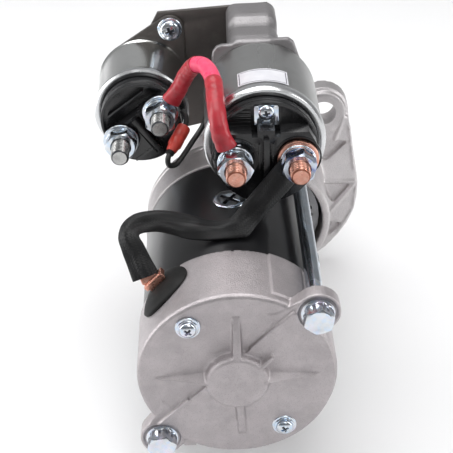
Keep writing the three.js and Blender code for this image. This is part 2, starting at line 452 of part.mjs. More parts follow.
// ---- leads -----------------------------------------------------------------------------------------------
// ring terminals carry a flat eye on the stud and a barrel for the lead
function lug(x, z, y0, y1, ro, dir, len, bw) {
  const bar = box(ro * 0.6, ro + len, y0, y1, -bw, bw);
  bar.rotateY(-dir);
  bar.translate(x, 0, z);
  return shapeOf([cyl(ro, y0, y1, x, z, 28), bar], [cyl(M10_R + 0.2, y0 - 2, y1 + 2, x, z, 20)]);
}
const JUMPER = [[-27.0, 125.6, 85.3], [-24.2, 125.4, 90.2], [-19.5, 124, 99.5], [-15.2, 119, 106.5], [-11.5, 112, 110], [-8.6, 104, 111.3], [-6.4, 94, 111], [-5.6, 84, 109.3], [-5.3, 75, 106.5], [-4.6, 68.5, 102], [-3.5, 65.4, 96], [-2.2, 64.9, 91.3]];
add('jumper_lead', shapeOf([
  tube(JUMPER, 4.3, 8, 26),
  lug(RSTUD[0][0], RSTUD[0][1], 126.4, 128.8, 8.6, 0.95, 6.6, 3.6),
  lug(SX - STUD_DX, STUD_Z, 66.6, 69.0, 8.4, 1.98, 6.6, 3.6),
]), 'pink');
const BRAID = [[-41.2, 31, 40.8], [-44.5, 34, 44], [-48.2, 39, 48.6], [-49.4, 44, 53.5], [-45.5, 48.5, 57.8], [-38, 51.5, 59], [-28, 53.5, 57], [-18, 54.5, 54.8], [-8, 54, 53.2], [-1, 53.5, 52], [3.5, 55, 52.5], [8, 58, 55.3], [14, 60.5, 59.5], [19.5, 63.2, 64.2], [24.5, 64.6, 69.2]];
add('motor_lead', shapeOf([tube(BRAID, 3.2, 8, 26), lug(SX + STUD_DX, STUD_Z, 66.6, 69.0, 10.2, 3.93, 4, 5)]), 'braid');
const WIRE = [[-23.6, 130.6, 74.6], [-21.6, 128.6, 72.6], [-21.3, 126.2, 70.2], [-22.5, 124, 68], [-26.2, 117, 64.5], [-30, 110, 61], [-31.5, 107, 58.5], [-31, 106.5, 55.2], [-27.5, 109.5, 53.8], [-23.5, 115, 56], [-18.6, 121.5, 60.2], [-13.8, 128.5, 63.8], [-11.6, 134.5, 65], [-10.9, 139.0, 65]];
add('switch_wire', tube(WIRE, 1.5, 6, 26), 'plastic');
{
  const a = new THREE.Vector3(-22.5, 124, 68), b = new THREE.Vector3(-30, 110, 61);
  add('bullet_sleeve', shapeOf([tube([a.toArray(), b.toArray()], 3.9, 12, 2)], [tube([[-21.9, 125.1, 68.6], [-22.5, 124, 68], [-26.2, 117, 64.5], [-30, 110, 61], [-30.6, 108.9, 60.4]], 1.9, 8, 8)]), 'red');
}

export default group;
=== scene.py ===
import math
import bpy
import numpy as np
from mathutils import Vector, Matrix


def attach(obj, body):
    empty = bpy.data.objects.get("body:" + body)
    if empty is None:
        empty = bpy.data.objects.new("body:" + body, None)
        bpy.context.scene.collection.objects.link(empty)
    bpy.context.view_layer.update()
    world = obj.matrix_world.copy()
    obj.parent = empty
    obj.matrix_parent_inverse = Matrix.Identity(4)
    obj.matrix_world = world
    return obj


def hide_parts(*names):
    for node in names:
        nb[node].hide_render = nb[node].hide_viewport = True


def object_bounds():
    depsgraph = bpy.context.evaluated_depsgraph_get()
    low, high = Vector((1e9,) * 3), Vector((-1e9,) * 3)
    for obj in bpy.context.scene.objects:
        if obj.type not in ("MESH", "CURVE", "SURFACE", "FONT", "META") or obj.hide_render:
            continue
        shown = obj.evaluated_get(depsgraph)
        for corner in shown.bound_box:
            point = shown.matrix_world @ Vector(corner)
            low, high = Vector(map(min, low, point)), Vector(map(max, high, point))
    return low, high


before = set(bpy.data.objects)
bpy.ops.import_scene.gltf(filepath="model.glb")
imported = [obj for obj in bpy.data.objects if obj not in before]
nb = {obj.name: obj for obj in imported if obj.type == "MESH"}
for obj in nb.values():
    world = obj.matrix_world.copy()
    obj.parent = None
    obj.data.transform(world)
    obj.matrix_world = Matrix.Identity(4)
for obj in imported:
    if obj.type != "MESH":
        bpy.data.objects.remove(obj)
CAD_LO, CAD_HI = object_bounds()

# ---------------------------------------------------------------- camera first
scene = bpy.context.scene
cam_data = bpy.data.cameras.new("camera")
cam = bpy.data.objects.new("camera", cam_data)
scene.collection.objects.link(cam)
scene.camera = cam
cam_data.sensor_fit = "HORIZONTAL"
cam_data.sensor_width = 36.0
cam_data.lens = 36.0 * 1167.786 / 453.0
scene.view_settings.view_transform = "Standard"
cam_data.clip_start, cam_data.clip_end = 0.02, 20
_e, _a, _r = math.radians(33.78), math.radians(0.43), math.radians(-1.98)
_w = Vector((math.sin(_a) * math.cos(_e), math.cos(_a) * math.cos(_e), -math.sin(_e)))
_right = Vector((math.cos(_a), -math.sin(_a), 0))
_up = _right.cross(_w)
_R = math.cos(_r) * _right + math.sin(_r) * _up
_U = -math.sin(_r) * _right + math.cos(_r) * _up
_m = Matrix((( _R.x, _U.x, -_w.x, -0.024406), (_R.y, _U.y, -_w.y, -0.619463), (_R.z, _U.z, -_w.z, 0.375736), (0, 0, 0, 1)))
cam.matrix_world = _m

# ---------------------------------------------------------------- dimensions (mm, motor axis frame)
OX, OZ, FACE = 18.5, -6.2, 196.0          # pinion axis and mounting face
SX, SZ = 18.5, 79.3                       # solenoid axis
RX, RZ = -46.0, 66.2                      # relay axis
BOLT = [(38, 37.1), (-38, -37.1)]
BRUSH_SCREW = [(-22.3, 30.9), (22.3, -30.9)]
RSTUD = [(-34.9, 74.3), (-57.1, 57.9)]
REARS = [(-29.4, 97.3), (-62.6, 35.1)]
STUD_DX, STUD_Z = 15.4, 79.0
TAU = 2 * math.pi
rng = np.random.default_rng(7)


def T(v):
    v = np.asarray(v, float)
    return (v - np.array([OX, FACE, OZ])) / 1000.0


# ---------------------------------------------------------------- mesh code
def make(name, V, F, smooth=35):
    me = bpy.data.meshes.new(name)
    me.from_pydata([tuple(p) for p in T(V)], [], [list(map(int, f)) for f in F])
    me.validate()
    o = bpy.data.objects.new(name, me)
    scene.collection.objects.link(o)
    fix_normals(o)
    shade(o, smooth)
    return o


def fix_normals(o):
    import bmesh
    bm = bmesh.new()
    bm.from_mesh(o.data)
    bmesh.ops.recalc_face_normals(bm, faces=bm.faces)
    bm.to_mesh(o.data)
    bm.free()


def shade(o, angle=35):
    me = o.data
    me.polygons.foreach_set("use_smooth", [True] * len(me.polygons))
    me.set_sharp_from_angle(angle=math.radians(angle))


def merged(parts):
    V, F, n = [], [], 0
    for v, f in parts:
        v = np.asarray(v, float)
        V.append(v)
        F += [[i + n for i in q] for q in f]
        n += len(v)
    return np.vstack(V), F


def grid(rows, close_u=True, cap=True):
    """rows: list of rings (each n x 3)."""
    n = len(rows[0])
    V = np.vstack(rows)
    F = []
    for j in range(len(rows) - 1):
        for i in range(n if close_u else n - 1):
            k = (i + 1) % n
            F.append([j * n + i, j * n + k, (j + 1) * n + k, (j + 1) * n + i])
    if cap:
        F.append(list(range(n))[::-1])
        F.append([(len(rows) - 1) * n + i for i in range(n)])
    return V, F


def ringpts(r, y, x=0, z=0, n=64, ph=0.0):
    t = np.arange(n) * TAU / n + ph
    return np.c_[x + r * np.cos(t), np.full(n, y), z + r * np.sin(t)]


def lathe(profile, x=0, z=0, n=72):
    """profile: (r, y) list; closed solid of revolution. Starts/ends on axis when r is 0, otherwise a ring section."""
    solid = profile[0][0] < 1e-6
    pr = list(profile)
    if solid:
        body = [p for p in pr if p[0] > 1e-6]
        rows = [ringpts(r, y, x, z, n) for r, y in body]
        return grid(rows, True, True)
    rows = [ringpts(r, y, x, z, n) for r, y in pr] + [ringpts(pr[0][0], pr[0][1], x, z, n)]
    V = np.vstack(rows[:-1])
    F = []
    m = len(pr)
    for j in range(m):
        for i in range(n):
            k = (i + 1) % n
            a, b = j * n, ((j + 1) % m) * n
            F.append([a + i, a + k, b + k, b + i])
    return V, F


def cyl(r, y0, y1, x=0, z=0, n=48, r2=None, ch=0.0):
    r2 = r if r2 is None else r2
    if ch:
        return lathe([(0, y0), (r - ch, y0), (r, y0 + ch), (r2, y1 - ch), (r2 - ch, y1), (0, y1)], x, z, n)
    return lathe([(0, y0), (r, y0), (r2, y1), (0, y1)], x, z, n)


def cylx(r, x0, x1, y, z, n=32):
    t = np.arange(n) * TAU / n
    return grid([np.c_[np.full(n, xx), y + r * np.cos(t), z + r * np.sin(t)] for xx in (x0, x1)])


def box(x0, x1, y0, y1, z0, z1, rot=0, c=(0, 0)):
    V = np.array([[x, y, z] for x in (x0, x1) for y in (y0, y1) for z in (z0, z1)], float)
    if rot:
        s, k = math.sin(rot), math.cos(rot)
        X, Z = V[:, 0] * k - V[:, 2] * s, V[:, 0] * s + V[:, 2] * k
        V[:, 0], V[:, 2] = X + c[0], Z + c[1]
    else:
        V[:, 0] += c[0]
        V[:, 2] += c[1]
    return V, [[0, 1, 3, 2], [4, 6, 7, 5], [0, 4, 5, 1], [2, 3, 7, 6], [0, 2, 6, 4], [1, 5, 7, 3]]


def slab(pts, y0, y1):
    p = np.asarray(pts, float)
    return grid([np.c_[p[:, 0], np.full(len(p), y), p[:, 1]] for y in (y0, y1)])


def arc(cx, cz, r, a0, a1, n=12):
    return [(cx + r * math.cos(a0 + (a1 - a0) * i / n), cz + r * math.sin(a0 + (a1 - a0) * i / n)) for i in range(n + 1)]


def circ(cx, cz, r, n=48):
    return [(cx + r * math.cos(TAU * i / n), cz + r * math.sin(TAU * i / n)) for i in range(n)]


def rrect(x0, x1, z0, z1, r, n=5):
    out = []
    for cx, cz, q in ((x1 - r, z1 - r, 0), (x0 + r, z1 - r, 1), (x0 + r, z0 + r, 2), (x1 - r, z0 + r, 3)):
        out += arc(cx, cz, r, q * math.pi / 2, (q + 1) * math.pi / 2, n)
    return out


def sector(ra, rb, c, h, n=20):
    return arc(0, 0, rb, c - h, c + h, n) + arc(0, 0, ra, c + h, c - h, n)


def wedge(a, b, wa, wb, ha, hb, y=0.0, top=0.35):
    """raised rib on a face at y, from a to b (x, z), widths and heights at each end, narrower on top."""
    a, b = np.array(a, float), np.array(b, float)
    d = (b - a) / np.linalg.norm(b - a)
    t = np.array([-d[1], d[0]])
    V = []
    for p, w, h in ((a, wa, ha), (b, wb, hb)):
        for s, yy, k in ((-1, y + 1.5, 1), (1, y + 1.5, 1), (1, y - h, top), (-1, y - h, top)):
            q = p + t * s * w / 2 * k
            V.append([q[0], yy, q[1]])
    return np.array(V), [[0, 1, 2, 3], [7, 6, 5, 4], [0, 4, 5, 1], [1, 5, 6, 2], [2, 6, 7, 3], [3, 7, 4, 0]]


def tmp(part, name="tmp"):
    return make(name, *part)


def boolean(o, part, op="DIFFERENCE"):
    c = part if isinstance(part, bpy.types.Object) else tmp(part)
    m = o.modifiers.new("b", "BOOLEAN")
    m.object, m.operation, m.solver = c, op, SOLVER
    apply(o)
    bpy.data.objects.remove(c)


def apply(o):
    dg = bpy.context.evaluated_depsgraph_get()
    dg.update()
    me = bpy.data.meshes.new_from_object(o.evaluated_get(dg), depsgraph=dg)
    o.modifiers.clear()
    old = o.data
    o.data = me
    if old.users == 0:
        bpy.data.meshes.remove(old)


SOLVER = "MANIFOLD"
if "MANIFOLD" not in [i.identifier for i in bpy.types.BooleanModifier.bl_rna.properties["solver"].enum_items]:
    SOLVER = "EXACT"


def csg(name, adds, cuts=()):
    o = make(name, *adds[0])
    for p in adds[1:]:
        boolean(o, p, "UNION")
    for p in cuts:
        boolean(o, p, "DIFFERENCE")
    return o


def cast(name, adds, cuts=(), late=(), voxel=0.7, soft=4):
    """a die-cast shape: the union is meshed evenly and its edges softened, then machined faces are cut."""
    o = csg(name, adds, cuts)
    m = o.modifiers.new("r", "REMESH")
    m.mode, m.voxel_size, m.use_smooth_shade = "VOXEL", voxel / 1000, True
    s = o.modifiers.new("s", "SMOOTH")
    s.factor, s.iterations = 0.5, soft
    apply(o)
    for p in late:
        boolean(o, p)
    shade(o, 40)
    return o


def bevel(o, w=0.3, seg=2, ang=32, sm=35):
    m = o.modifiers.new("v", "BEVEL")
    m.width, m.segments, m.limit_method, m.angle_limit = w / 1000, seg, "ANGLE", math.radians(ang)
    m.harden_normals = False
    apply(o)
    shade(o, sm)
    return o


def thread(r, y0, y1, x, z, pitch=1.5, n=48, depth=0.75, seat=None, core=True):
    """threaded rod along Y with a real helix; the end at y0 is chamfered. seat: a list of (r, y) turned steps past y1."""
    per = 6
    ys = np.arange(y0, y1 + 1e-6, pitch / per)
    t = np.arange(n) * TAU / n
    rows = [np.c_[x + k * (r - 1.05) * np.cos(t), np.full(n, y0 - 0.0), z + k * (r - 1.05) * np.sin(t)] for k in (0.3, 0.96, 1.0)]
    for y in ys:
        ph = ((y / pitch - t / TAU) % 1.0)
        tri = 1 - np.abs(2 * ph - 1)
        rr = r - depth * (1 - np.clip(tri * 1.25, 0, 1))
        lim = r - 0.95 + (y - y0) * 1.3
        rr = np.minimum(rr, lim)
        rows.append(np.c_[x + rr * np.cos(t), np.full(n, y + 0.05), z + rr * np.sin(t)])
    for rr, y in seat or []:
        rows.append(np.c_[x + rr * np.cos(t), np.full(n, y), z + rr * np.sin(t)])
    return grid(rows)


def roots(o, x, z, r, mat, y1):
    """painted shade in the roots of a thread of radius r: those faces get a darker material."""
    o.data.materials.append(MT[mat])
    k = len(o.data.materials) - 1
    for p in o.data.polygons:
        c = np.array(p.center) * 1000 + np.array([OX, FACE, OZ])
        n = p.normal
        if c[1] < y1 and math.hypot(c[0] - x, c[2] - z) < r - 0.42 and abs(n[1]) < 0.9:
            p.material_index = k


def hexrad(t, af):
    k = (t % (TAU / 6)) - TAU / 12
    return af / 2 / np.cos(k)


def hexnut(af, y0, y1, bore, x, z, turn=0.0, n=96):
    """chamfered hex nut with a countersunk bore."""
    t = np.arange(n) * TAU / n
    rh = hexrad(t - turn, af)
    rc = af / 2 * 0.985
    drop = np.maximum(rh - rc, 0) * 0.58
    rw = np.minimum(rh, rc) - 0.15
    rows = []
    for rr, yy in ((np.full(n, bore), np.full(n, y0 + 0.8)), (np.full(n, bore + 0.7), np.full(n, y0)), (rw, np.full(n, y0)), (rh, y0 + drop + 0.12), (rh, y1 - drop - 0.12), (rw, np.full(n, y1)), (np.full(n, bore + 0.7), np.full(n, y1)), (np.full(n, bore), np.full(n, y1 - 0.8))):
        rows.append(np.c_[x + rr * np.cos(t), yy, z + rr * np.sin(t)])
    V = np.vstack(rows)
    F, m = [], len(rows)
    for j in range(m):
        for i in range(n):
            k = (i + 1) % n
            a, b = j * n, ((j + 1) % m) * n
            F.append([a + i, a + k, b + k, b + i])
    return V, F


def hexbolt(af, y0, y1, x, z, turn, flange_r, shank_r, length, n=96):
    """flanged hex head (y0 top, y1 seat) and its shank."""
    t = np.arange(n) * TAU / n
    rh = hexrad(t - turn, af)
    rc = af / 2 * 0.97
    drop = np.maximum(rh - rc, 0) * 0.62
    one = np.ones(n)
    prof = [(one * 0.4, one * (y0 + 0.35)), (one * (rc - 2.2), one * (y0 + 0.35)), (one * (rc - 1.5), one * y0), (np.minimum(rh, rc) - 0.1, one * y0), (rh, y0 + drop + 0.15),
            (rh, one * (y1 - 1.9)), (one * (flange_r - 0.8), one * (y1 - 1.25)), (one * flange_r, one * (y1 - 0.9)), (one * flange_r, one * y1), (one * shank_r, one * y1), (one * shank_r, one * length)]
    return grid([np.c_[x + a * np.cos(t), b, z + a * np.sin(t)] for a, b in prof])


def spring_washer(ri, ro, y0, y1, x, z, gap=0.22, at=1.9):
    n = 60
    t = at + gap / 2 + np.arange(n) * (TAU - gap) / (n - 1)
    k = (np.arange(n) / (n - 1) - 0.5) * (y1 - y0) * 0.35
    rows = []
    for i in range(n):
        c, s = math.cos(t[i]), math.sin(t[i])
        rows.append(np.array([[x + r * c, y + k[i] * 0.4, z + r * s] for r, y in ((ri, y0), (ro, y0), (ro, y1), (ri, y1))]))
    return grid(rows)


def washer(ro, ri, y0, y1, x, z, n=64, ch=0.25):
    return lathe([(ri, y0), (ro - ch, y0), (ro, y0 + ch), (ro, y1 - ch), (ro - ch, y1), (ri, y1)], x, z, n)


def panhead(name, y, R, H, x, z, shank=2.2, length=10, extra=(), turn=0.4):
    """cross-recess pan head, seat at y, facing -Y."""
    prof = [(0, y - H)] + [(R * math.sin(a), y - H * 0.28 - H * 0.72 * math.cos(a)) for a in np.linspace(0.12, math.pi / 2, 9)] + [(R, y - 0.1), (R - 0.15, y), (shank, y), (shank, y + length), (0, y + length)]
    o = make(name, *lathe(prof, x, z, 48))
    w, l = R * 0.17, R * 0.56
    for k in range(2):
        V, F = box(-l, l, y - H - 1, y - H * 0.38, -w, w, turn + k * math.pi / 2 + 1e-5, (x, z))
        deep = V[:, 1] > y - H
        ctr = np.array([x, 0, z])
        V[deep] = ctr * [1, 0, 1] + (V[deep] - ctr * [1, 0, 1]) * [0.72, 1, 0.72]
        boolean(o, (V, F))
    for e in extra:
        boolean(o, e, "UNION")
    bevel(o, 0.12, 2, 35)
    # marks the cross recess where put() paints shade
    o["recess"] = (x, z, y - H * 0.72, l)
    return o


def crspline(pts, n):
    """centripetal Catmull-Rom through pts; n samples spaced evenly."""
    P = np.asarray(pts, float)
    P = np.vstack([2 * P[0] - P[1], P, 2 * P[-1] - P[-2]])
    out, par = [], []
    for i in range(1, len(P) - 2):
        p = P[i - 1:i + 3]
        t = [0.0]
        for a in range(3):
            t.append(t[-1] + max(np.linalg.norm(p[a + 1][:3] - p[a][:3]), 1e-6) ** 0.5)
        for s in np.linspace(t[1], t[2], 24, endpoint=i == len(P) - 3):
            A = [(t[k + 1] - s) / (t[k + 1] - t[k]) * p[k] + (s - t[k]) / (t[k + 1] - t[k]) * p[k + 1] for k in range(3)]
            B = [(t[k + 2] - s) / (t[k + 2] - t[k]) * A[k] + (s - t[k]) / (t[k + 2] - t[k]) * A[k + 1] for k in range(2)]
            out.append((t[2] - s) / (t[2] - t[1]) * B[0] + (s - t[1]) / (t[2] - t[1]) * B[1])
            par.append(i - 1 + (s - t[1]) / (t[2] - t[1]))
    out, par = np.array(out), np.array(par)
    L = np.r_[0, np.cumsum(np.linalg.norm(np.diff(out[:, :3], axis=0), axis=1))]
    u = np.linspace(0, L[-1], n)
    return np.c_[[np.interp(u, L, out[:, k]) for k in range(out.shape[1])]].T, u, np.interp(u, L, par)


def frames(C, ref):
    """tangent and a transported normal along C."""
    Tn = np.gradient(C, axis=0)
    Tn /= np.linalg.norm(Tn, axis=1)[:, None]
    N = np.zeros_like(C)
    v = np.asarray(ref, float)
    for i in range(len(C)):
        v = v - Tn[i] * (v @ Tn[i])
        v /= np.linalg.norm(v)
        N[i] = v
    return Tn, N


def sweep(name, C, radius, n=24, ref=(0, -1, 0.3), uv=True, wob=0.0, closed_ends=True, smooth=60, us=1.0):
    """round tube along C; radius may vary along it."""
    C = np.asarray(C, float)
    Tn, N = frames(C, ref)
    B = np.cross(Tn, N)
    rad = np.broadcast_to(np.asarray(radius, float), (len(C),))
    t = np.arange(n) * TAU / n
    rows = []
    for i in range(len(C)):
        r = rad[i] * (1 + wob * np.sin(3 * t + i * 0.21) * np.sin(i * 0.37))
        rows.append(C[i] + np.outer(r * np.cos(t), N[i]) + np.outer(r * np.sin(t), B[i]))
    o = make(name, *grid(rows, True, closed_ends), smooth)
    if uv:
        L = np.r_[0, np.cumsum(np.linalg.norm(np.diff(C, axis=0), axis=1))]
        add_uv(o, n, len(C), L * us)
    return o


def add_uv(o, n, rows, L):
    me = o.data
    layer = me.uv_layers.new(name="UVMap")
    for p in me.polygons:
        ids = [me.loops[k].vertex_index for k in p.loop_indices]
        wrap = max(i % n for i in ids) == n - 1 and min(i % n for i in ids) == 0 and len(ids) == 4
        for k, i in zip(p.loop_indices, ids):
            u = i % n
            if wrap and u == 0:
                u = n
            layer.data[k].uv = (u / n, L[min(i // n, rows - 1)] / 10.0)


# ---------------------------------------------------------------- materials
def nodes_of(name):
    m = bpy.data.materials.new(name)
    m.use_nodes = True
    nt = m.node_tree
    b = nt.nodes["Principled BSDF"]
    return m, nt, b


def N_(nt, kind, **kw):
    n = nt.nodes.new(kind)
    for k, v in kw.items():
        if k.startswith("_"):
            setattr(n, k[1:], v)
        else:
            n.inputs[k.replace("__", " ")].default_value = v
    return n


def noise(nt, co, scale, detail=4.0, rough=0.55, stretch=None):
    src = co
    if stretch:
        mp = nt.nodes.new("ShaderNodeMapping")
        mp.inputs["Scale"].default_value = stretch
        nt.links.new(co, mp.inputs["Vector"])
        src = mp.outputs[0]
    n = nt.nodes.new("ShaderNodeTexNoise")
    n.inputs["Scale"].default_value = scale
    n.inputs["Detail"].default_value = detail
    n.inputs["Roughness"].default_value = rough
    nt.links.new(src, n.inputs["Vector"])
    return n.outputs["Fac"]


def rng_map(nt, fac, lo, hi, a=0.3, b=0.7):
    n = nt.nodes.new("ShaderNodeMapRange")
    n.inputs["From Min"].default_value = a
    n.inputs["From Max"].default_value = b
    n.inputs["To Min"].default_value = lo
    n.inputs["To Max"].default_value = hi
    nt.links.new(fac, n.inputs["Value"])
    return n.outputs["Result"]


def mix(nt, fac, c1, c2):
    n = nt.nodes.new("ShaderNodeMix")
    n.data_type = "RGBA"
    if hasattr(fac, "is_linked") or isinstance(fac, bpy.types.NodeSocket):
        nt.links.new(fac, n.inputs["Factor"])
    else:
        n.inputs["Factor"].default_value = fac
    for s, c in ((n.inputs["A"], c1), (n.inputs["B"], c2)):
        s = [i for i in n.inputs if i.name == s.name and i.type == "RGBA"][0]
        if isinstance(c, bpy.types.NodeSocket):
            nt.links.new(c, s)
        else:
            s.default_value = (*c, 1) if len(c) == 3 else c
    return [q for q in n.outputs if q.type == "RGBA"][0]


def bump(nt, h, strength, dist, normal=None):
    n = nt.nodes.new("ShaderNodeBump")
    n.inputs["Strength"].default_value = strength
    n.inputs["Distance"].default_value = dist
    nt.links.new(h, n.inputs["Height"])
    if normal is not None:
        nt.links.new(normal, n.inputs["Normal"])
    return n.outputs["Normal"]


def metal(name, base, rough, metallic=1.0, var=0.08, scale=60, grain=900, gstr=0.12, gdist=0.00012, stretch=None, tint=None, coat=0.0, spec=0.5, rvar=0.08, smudge=None, dark=None, aniso=0.0, painted_shade_fade=None):
    """metal or paint: slow colour and gloss variation, fine grain in the normal, optional tint, smudges, dark specks
    and a painted shade along one axis.
    """
    m, nt, b = nodes_of(name)
    co = nt.nodes.new("ShaderNodeTexCoord").outputs["Object"]
    f1 = noise(nt, co, scale, 5)
    base = np.array(base, float)
    lo, hi = tuple(base * (1 - var)), tuple(np.minimum(base * (1 + var), 1))
    col = mix(nt, rng_map(nt, f1, 0, 1, 0.32, 0.68), lo, hi)
    if tint is not None:
        f2 = noise(nt, co, scale * 2.7, 2)
        col = mix(nt, rng_map(nt, f2, 0, tint[1], 0.45, 0.75), col, tint[0])
    if smudge is not None:
        f3 = noise(nt, co, scale * 0.6 + 35, 6, 0.65)
        col = mix(nt, rng_map(nt, f3, 0, smudge[1], 0.52, 0.72), col, smudge[0])
    if dark is not None:                   # fine dark specks
        f4 = noise(nt, co, grain * 1.7, 2, 0.5)
        col = mix(nt, rng_map(nt, f4, dark[1], 0, 0.30, 0.45), col, dark[0])
    if painted_shade_fade is not None:                  # painted shade: the colour shifts to a second, darker colour along one axis of the object
        sp_ = nt.nodes.new("ShaderNodeSeparateXYZ")
        nt.links.new(co, sp_.inputs[0])
        col = mix(nt, rng_map(nt, sp_.outputs[painted_shade_fade[0]], 0, 1, painted_shade_fade[1], painted_shade_fade[2]), col, painted_shade_fade[3])
    nt.links.new(col, b.inputs["Base Color"])
    b.inputs["Metallic"].default_value = metallic
    fr = noise(nt, co, scale * 1.9, 6, 0.6, stretch)
    nt.links.new(rng_map(nt, fr, max(rough - rvar, 0.03), min(rough + rvar, 1)), b.inputs["Roughness"])
    g = noise(nt, co, grain, 3, 0.6, stretch)
    nt.links.new(bump(nt, g, gstr, gdist), b.inputs["Normal"])
    b.inputs["Specular IOR Level"].default_value = spec
    if coat:
        b.inputs["Coat Weight"].default_value = coat
        b.inputs["Coat Roughness"].default_value = 0.12
    if aniso:
        b.inputs["Anisotropic"].default_value = aniso
    return m


MT = {}
MT["cast"] = metal("cast_aluminium", (0.44, 0.408, 0.418), 0.42, 0.80, 0.08, 60, 1500, 0.9, 0.0003, tint=((0.53, 0.495, 0.503), 0.55), dark=((0.26, 0.235, 0.24), 0.6), rvar=0.07)
# painted shade: the drive housing darkens towards its top, between object Z 0.035 and 0.085 m
MT["cast2"] = metal("cast_aluminium_bright", (0.60, 0.575, 0.58), 0.38, 0.70, 0.09, 60, 1000, 0.7, 0.00034, tint=((0.70, 0.67, 0.67), 0.55), dark=((0.38, 0.35, 0.355), 0.5), rvar=0.07, painted_shade_fade=("Z", 0.035, 0.085, (0.26, 0.25, 0.255)))
# painted shade: a darker copy of the housing aluminium for the centre bracket, which sits in shade
MT["cast3"] = metal("cast_aluminium_bracket_painted_shade", (0.45, 0.425, 0.43), 0.40, 0.72, 0.09, 60, 1000, 0.7, 0.00034, tint=((0.54, 0.51, 0.515), 0.5), dark=((0.28, 0.255, 0.26), 0.5), rvar=0.07)
MT["black"] = metal("black_paint", (0.007, 0.007, 0.008), 0.30, 0.0, 0.25, 30, 700, 0.04, 0.00006, coat=0.2, rvar=0.02)
MT["zinc"] = metal("bright_zinc", (0.66, 0.69, 0.72), 0.16, 1.0, 0.10, 150, 1500, 0.08, 0.00008, tint=((0.50, 0.66, 0.86), 0.8), smudge=((0.76, 0.66, 0.80), 0.7), rvar=0.06)
MT["zinc_blue"] = metal("bright_zinc_blue", (0.60, 0.66, 0.74), 0.15, 1.0, 0.10, 110, 1500, 0.08, 0.00008, tint=((0.06, 0.12, 0.50), 0.9), smudge=((0.52, 0.56, 0.84), 0.7), rvar=0.05)
MT["stud"] = metal("zinc_stud", (0.48, 0.48, 0.47), 0.26, 1.0, 0.10, 150, 1500, 0.10, 0.0001, smudge=((0.30, 0.30, 0.30), 0.5), rvar=0.07)
# painted shade: dark copper for the roots of the copper studs' threads
MT["copper_root_shade"] = metal("copper_thread_root_painted_shade", (0.26, 0.095, 0.06), 0.40, 0.9, 0.2, 200, 1500, 0.1, 0.0001)
MT["rod"] = metal("zinc_rod", (0.42, 0.46, 0.50), 0.22, 1.0, 0.12, 120, 900, 0.06, 0.00006, stretch=(1, 0.1, 1), tint=((0.36, 0.44, 0.54), 0.6), rvar=0.06)
MT["can"] = metal("solenoid_can_steel", (0.46, 0.465, 0.46), 0.30, 1.0, 0.05, 30, 700, 0.08, 0.00006, stretch=(1, 0.08, 1), smudge=((0.36, 0.37, 0.37), 0.5), rvar=0.05)
MT["crimp"] = metal("rolled_edge", (0.66, 0.67, 0.68), 0.22, 1.0, 0.08, 90, 900, 0.08, 0.00008, rvar=0.06)
MT["relay"] = metal("relay_can_steel", (0.70, 0.71, 0.70), 0.20, 1.0, 0.05, 30, 700, 0.05, 0.00005, stretch=(1, 0.1, 1), smudge=((0.45, 0.47, 0.45), 0.5), rvar=0.05)
MT["plate"] = metal("bracket_plate", (0.135, 0.125, 0.118), 0.42, 0.75, 0.10, 50, 900, 0.12, 0.0001, stretch=(0.15, 1, 1), smudge=((0.19, 0.175, 0.165), 0.6), rvar=0.07)
MT["steel"] = metal("machined_steel", (0.46, 0.46, 0.47), 0.30, 1.0, 0.08, 90, 1200, 0.10, 0.0001, rvar=0.07)
MT["dsteel"] = metal("oiled_steel", (0.26, 0.26, 0.27), 0.34, 1.0, 0.12, 70, 900, 0.14, 0.0001, smudge=((0.16, 0.15, 0.14), 0.5), rvar=0.07)
MT["copper"] = metal("copper", (0.74, 0.37, 0.28), 0.28, 1.0, 0.10, 140, 1200, 0.10, 0.00008, tint=((0.84, 0.54, 0.45), 0.6), smudge=((0.36, 0.16, 0.11), 0.6), rvar=0.08)
MT["winding"] = metal("enamelled_copper", (0.46, 0.16, 0.07), 0.30, 0.8, 0.2, 300, 900, 0.5, 0.0003, stretch=(1, 0.2, 1), rvar=0.08)
MT["plastic"] = metal("black_phenolic", (0.010, 0.010, 0.011), 0.24, 0.0, 0.3, 60, 1300, 0.10, 0.00008, spec=0.6, rvar=0.06)
MT["rubber"] = metal("rubber", (0.008, 0.008, 0.008), 0.58, 0.0, 0.2, 80, 1600, 0.35, 0.00015, smudge=((0.018, 0.0175, 0.0175), 0.7), spec=0.2, rvar=0.08)
MT["heatshrink"] = metal("red_heatshrink", (0.40, 0.022, 0.034), 0.34, 0.0, 0.16, 160, 1500, 0.25, 0.00015, smudge=((0.27, 0.014, 0.022), 0.6), rvar=0.08)
MT["cable"] = metal("cable_insulation", (0.80, 0.060, 0.145), 0.30, 0.0, 0.08, 90, 900, 0.06, 0.0001, tint=((0.86, 0.12, 0.22), 0.6), rvar=0.05)
MT["sleeve"] = metal("red_sleeve", (0.50, 0.045, 0.030), 0.34, 0.0, 0.12, 160, 1100, 0.12, 0.0001, rvar=0.06)
MT["wire"] = metal("black_wire", (0.012, 0.012, 0.012), 0.35, 0.0, 0.3, 140, 1300, 0.12, 0.0001, rvar=0.06)
MT["carbon"] = metal("copper_graphite", (0.07, 0.055, 0.05), 0.55, 0.4, 0.2, 200, 1500, 0.3, 0.0001, rvar=0.08)
# painted shade: dark colour for screw cross recesses and thread roots
MT["recess"] = metal("recess_painted_shade", (0.055, 0.058, 0.065), 0.45, 0.6, 0.3, 300, 1500, 0.1, 0.0001)
MT["brass"] = metal("bearing_race", (0.55, 0.55, 0.55), 0.18, 1.0, 0.06, 100, 900, 0.05, 0.0001)

for _n in ("cable", "heatshrink", "sleeve"):
    _b = MT[_n].node_tree.nodes["Principled BSDF"]
    _b.inputs["Subsurface Weight"].default_value = 0.12
    _b.inputs["Subsurface Radius"].default_value = (0.002, 0.0006, 0.0006)
    _b.inputs["Subsurface Scale"].default_value = 1.0


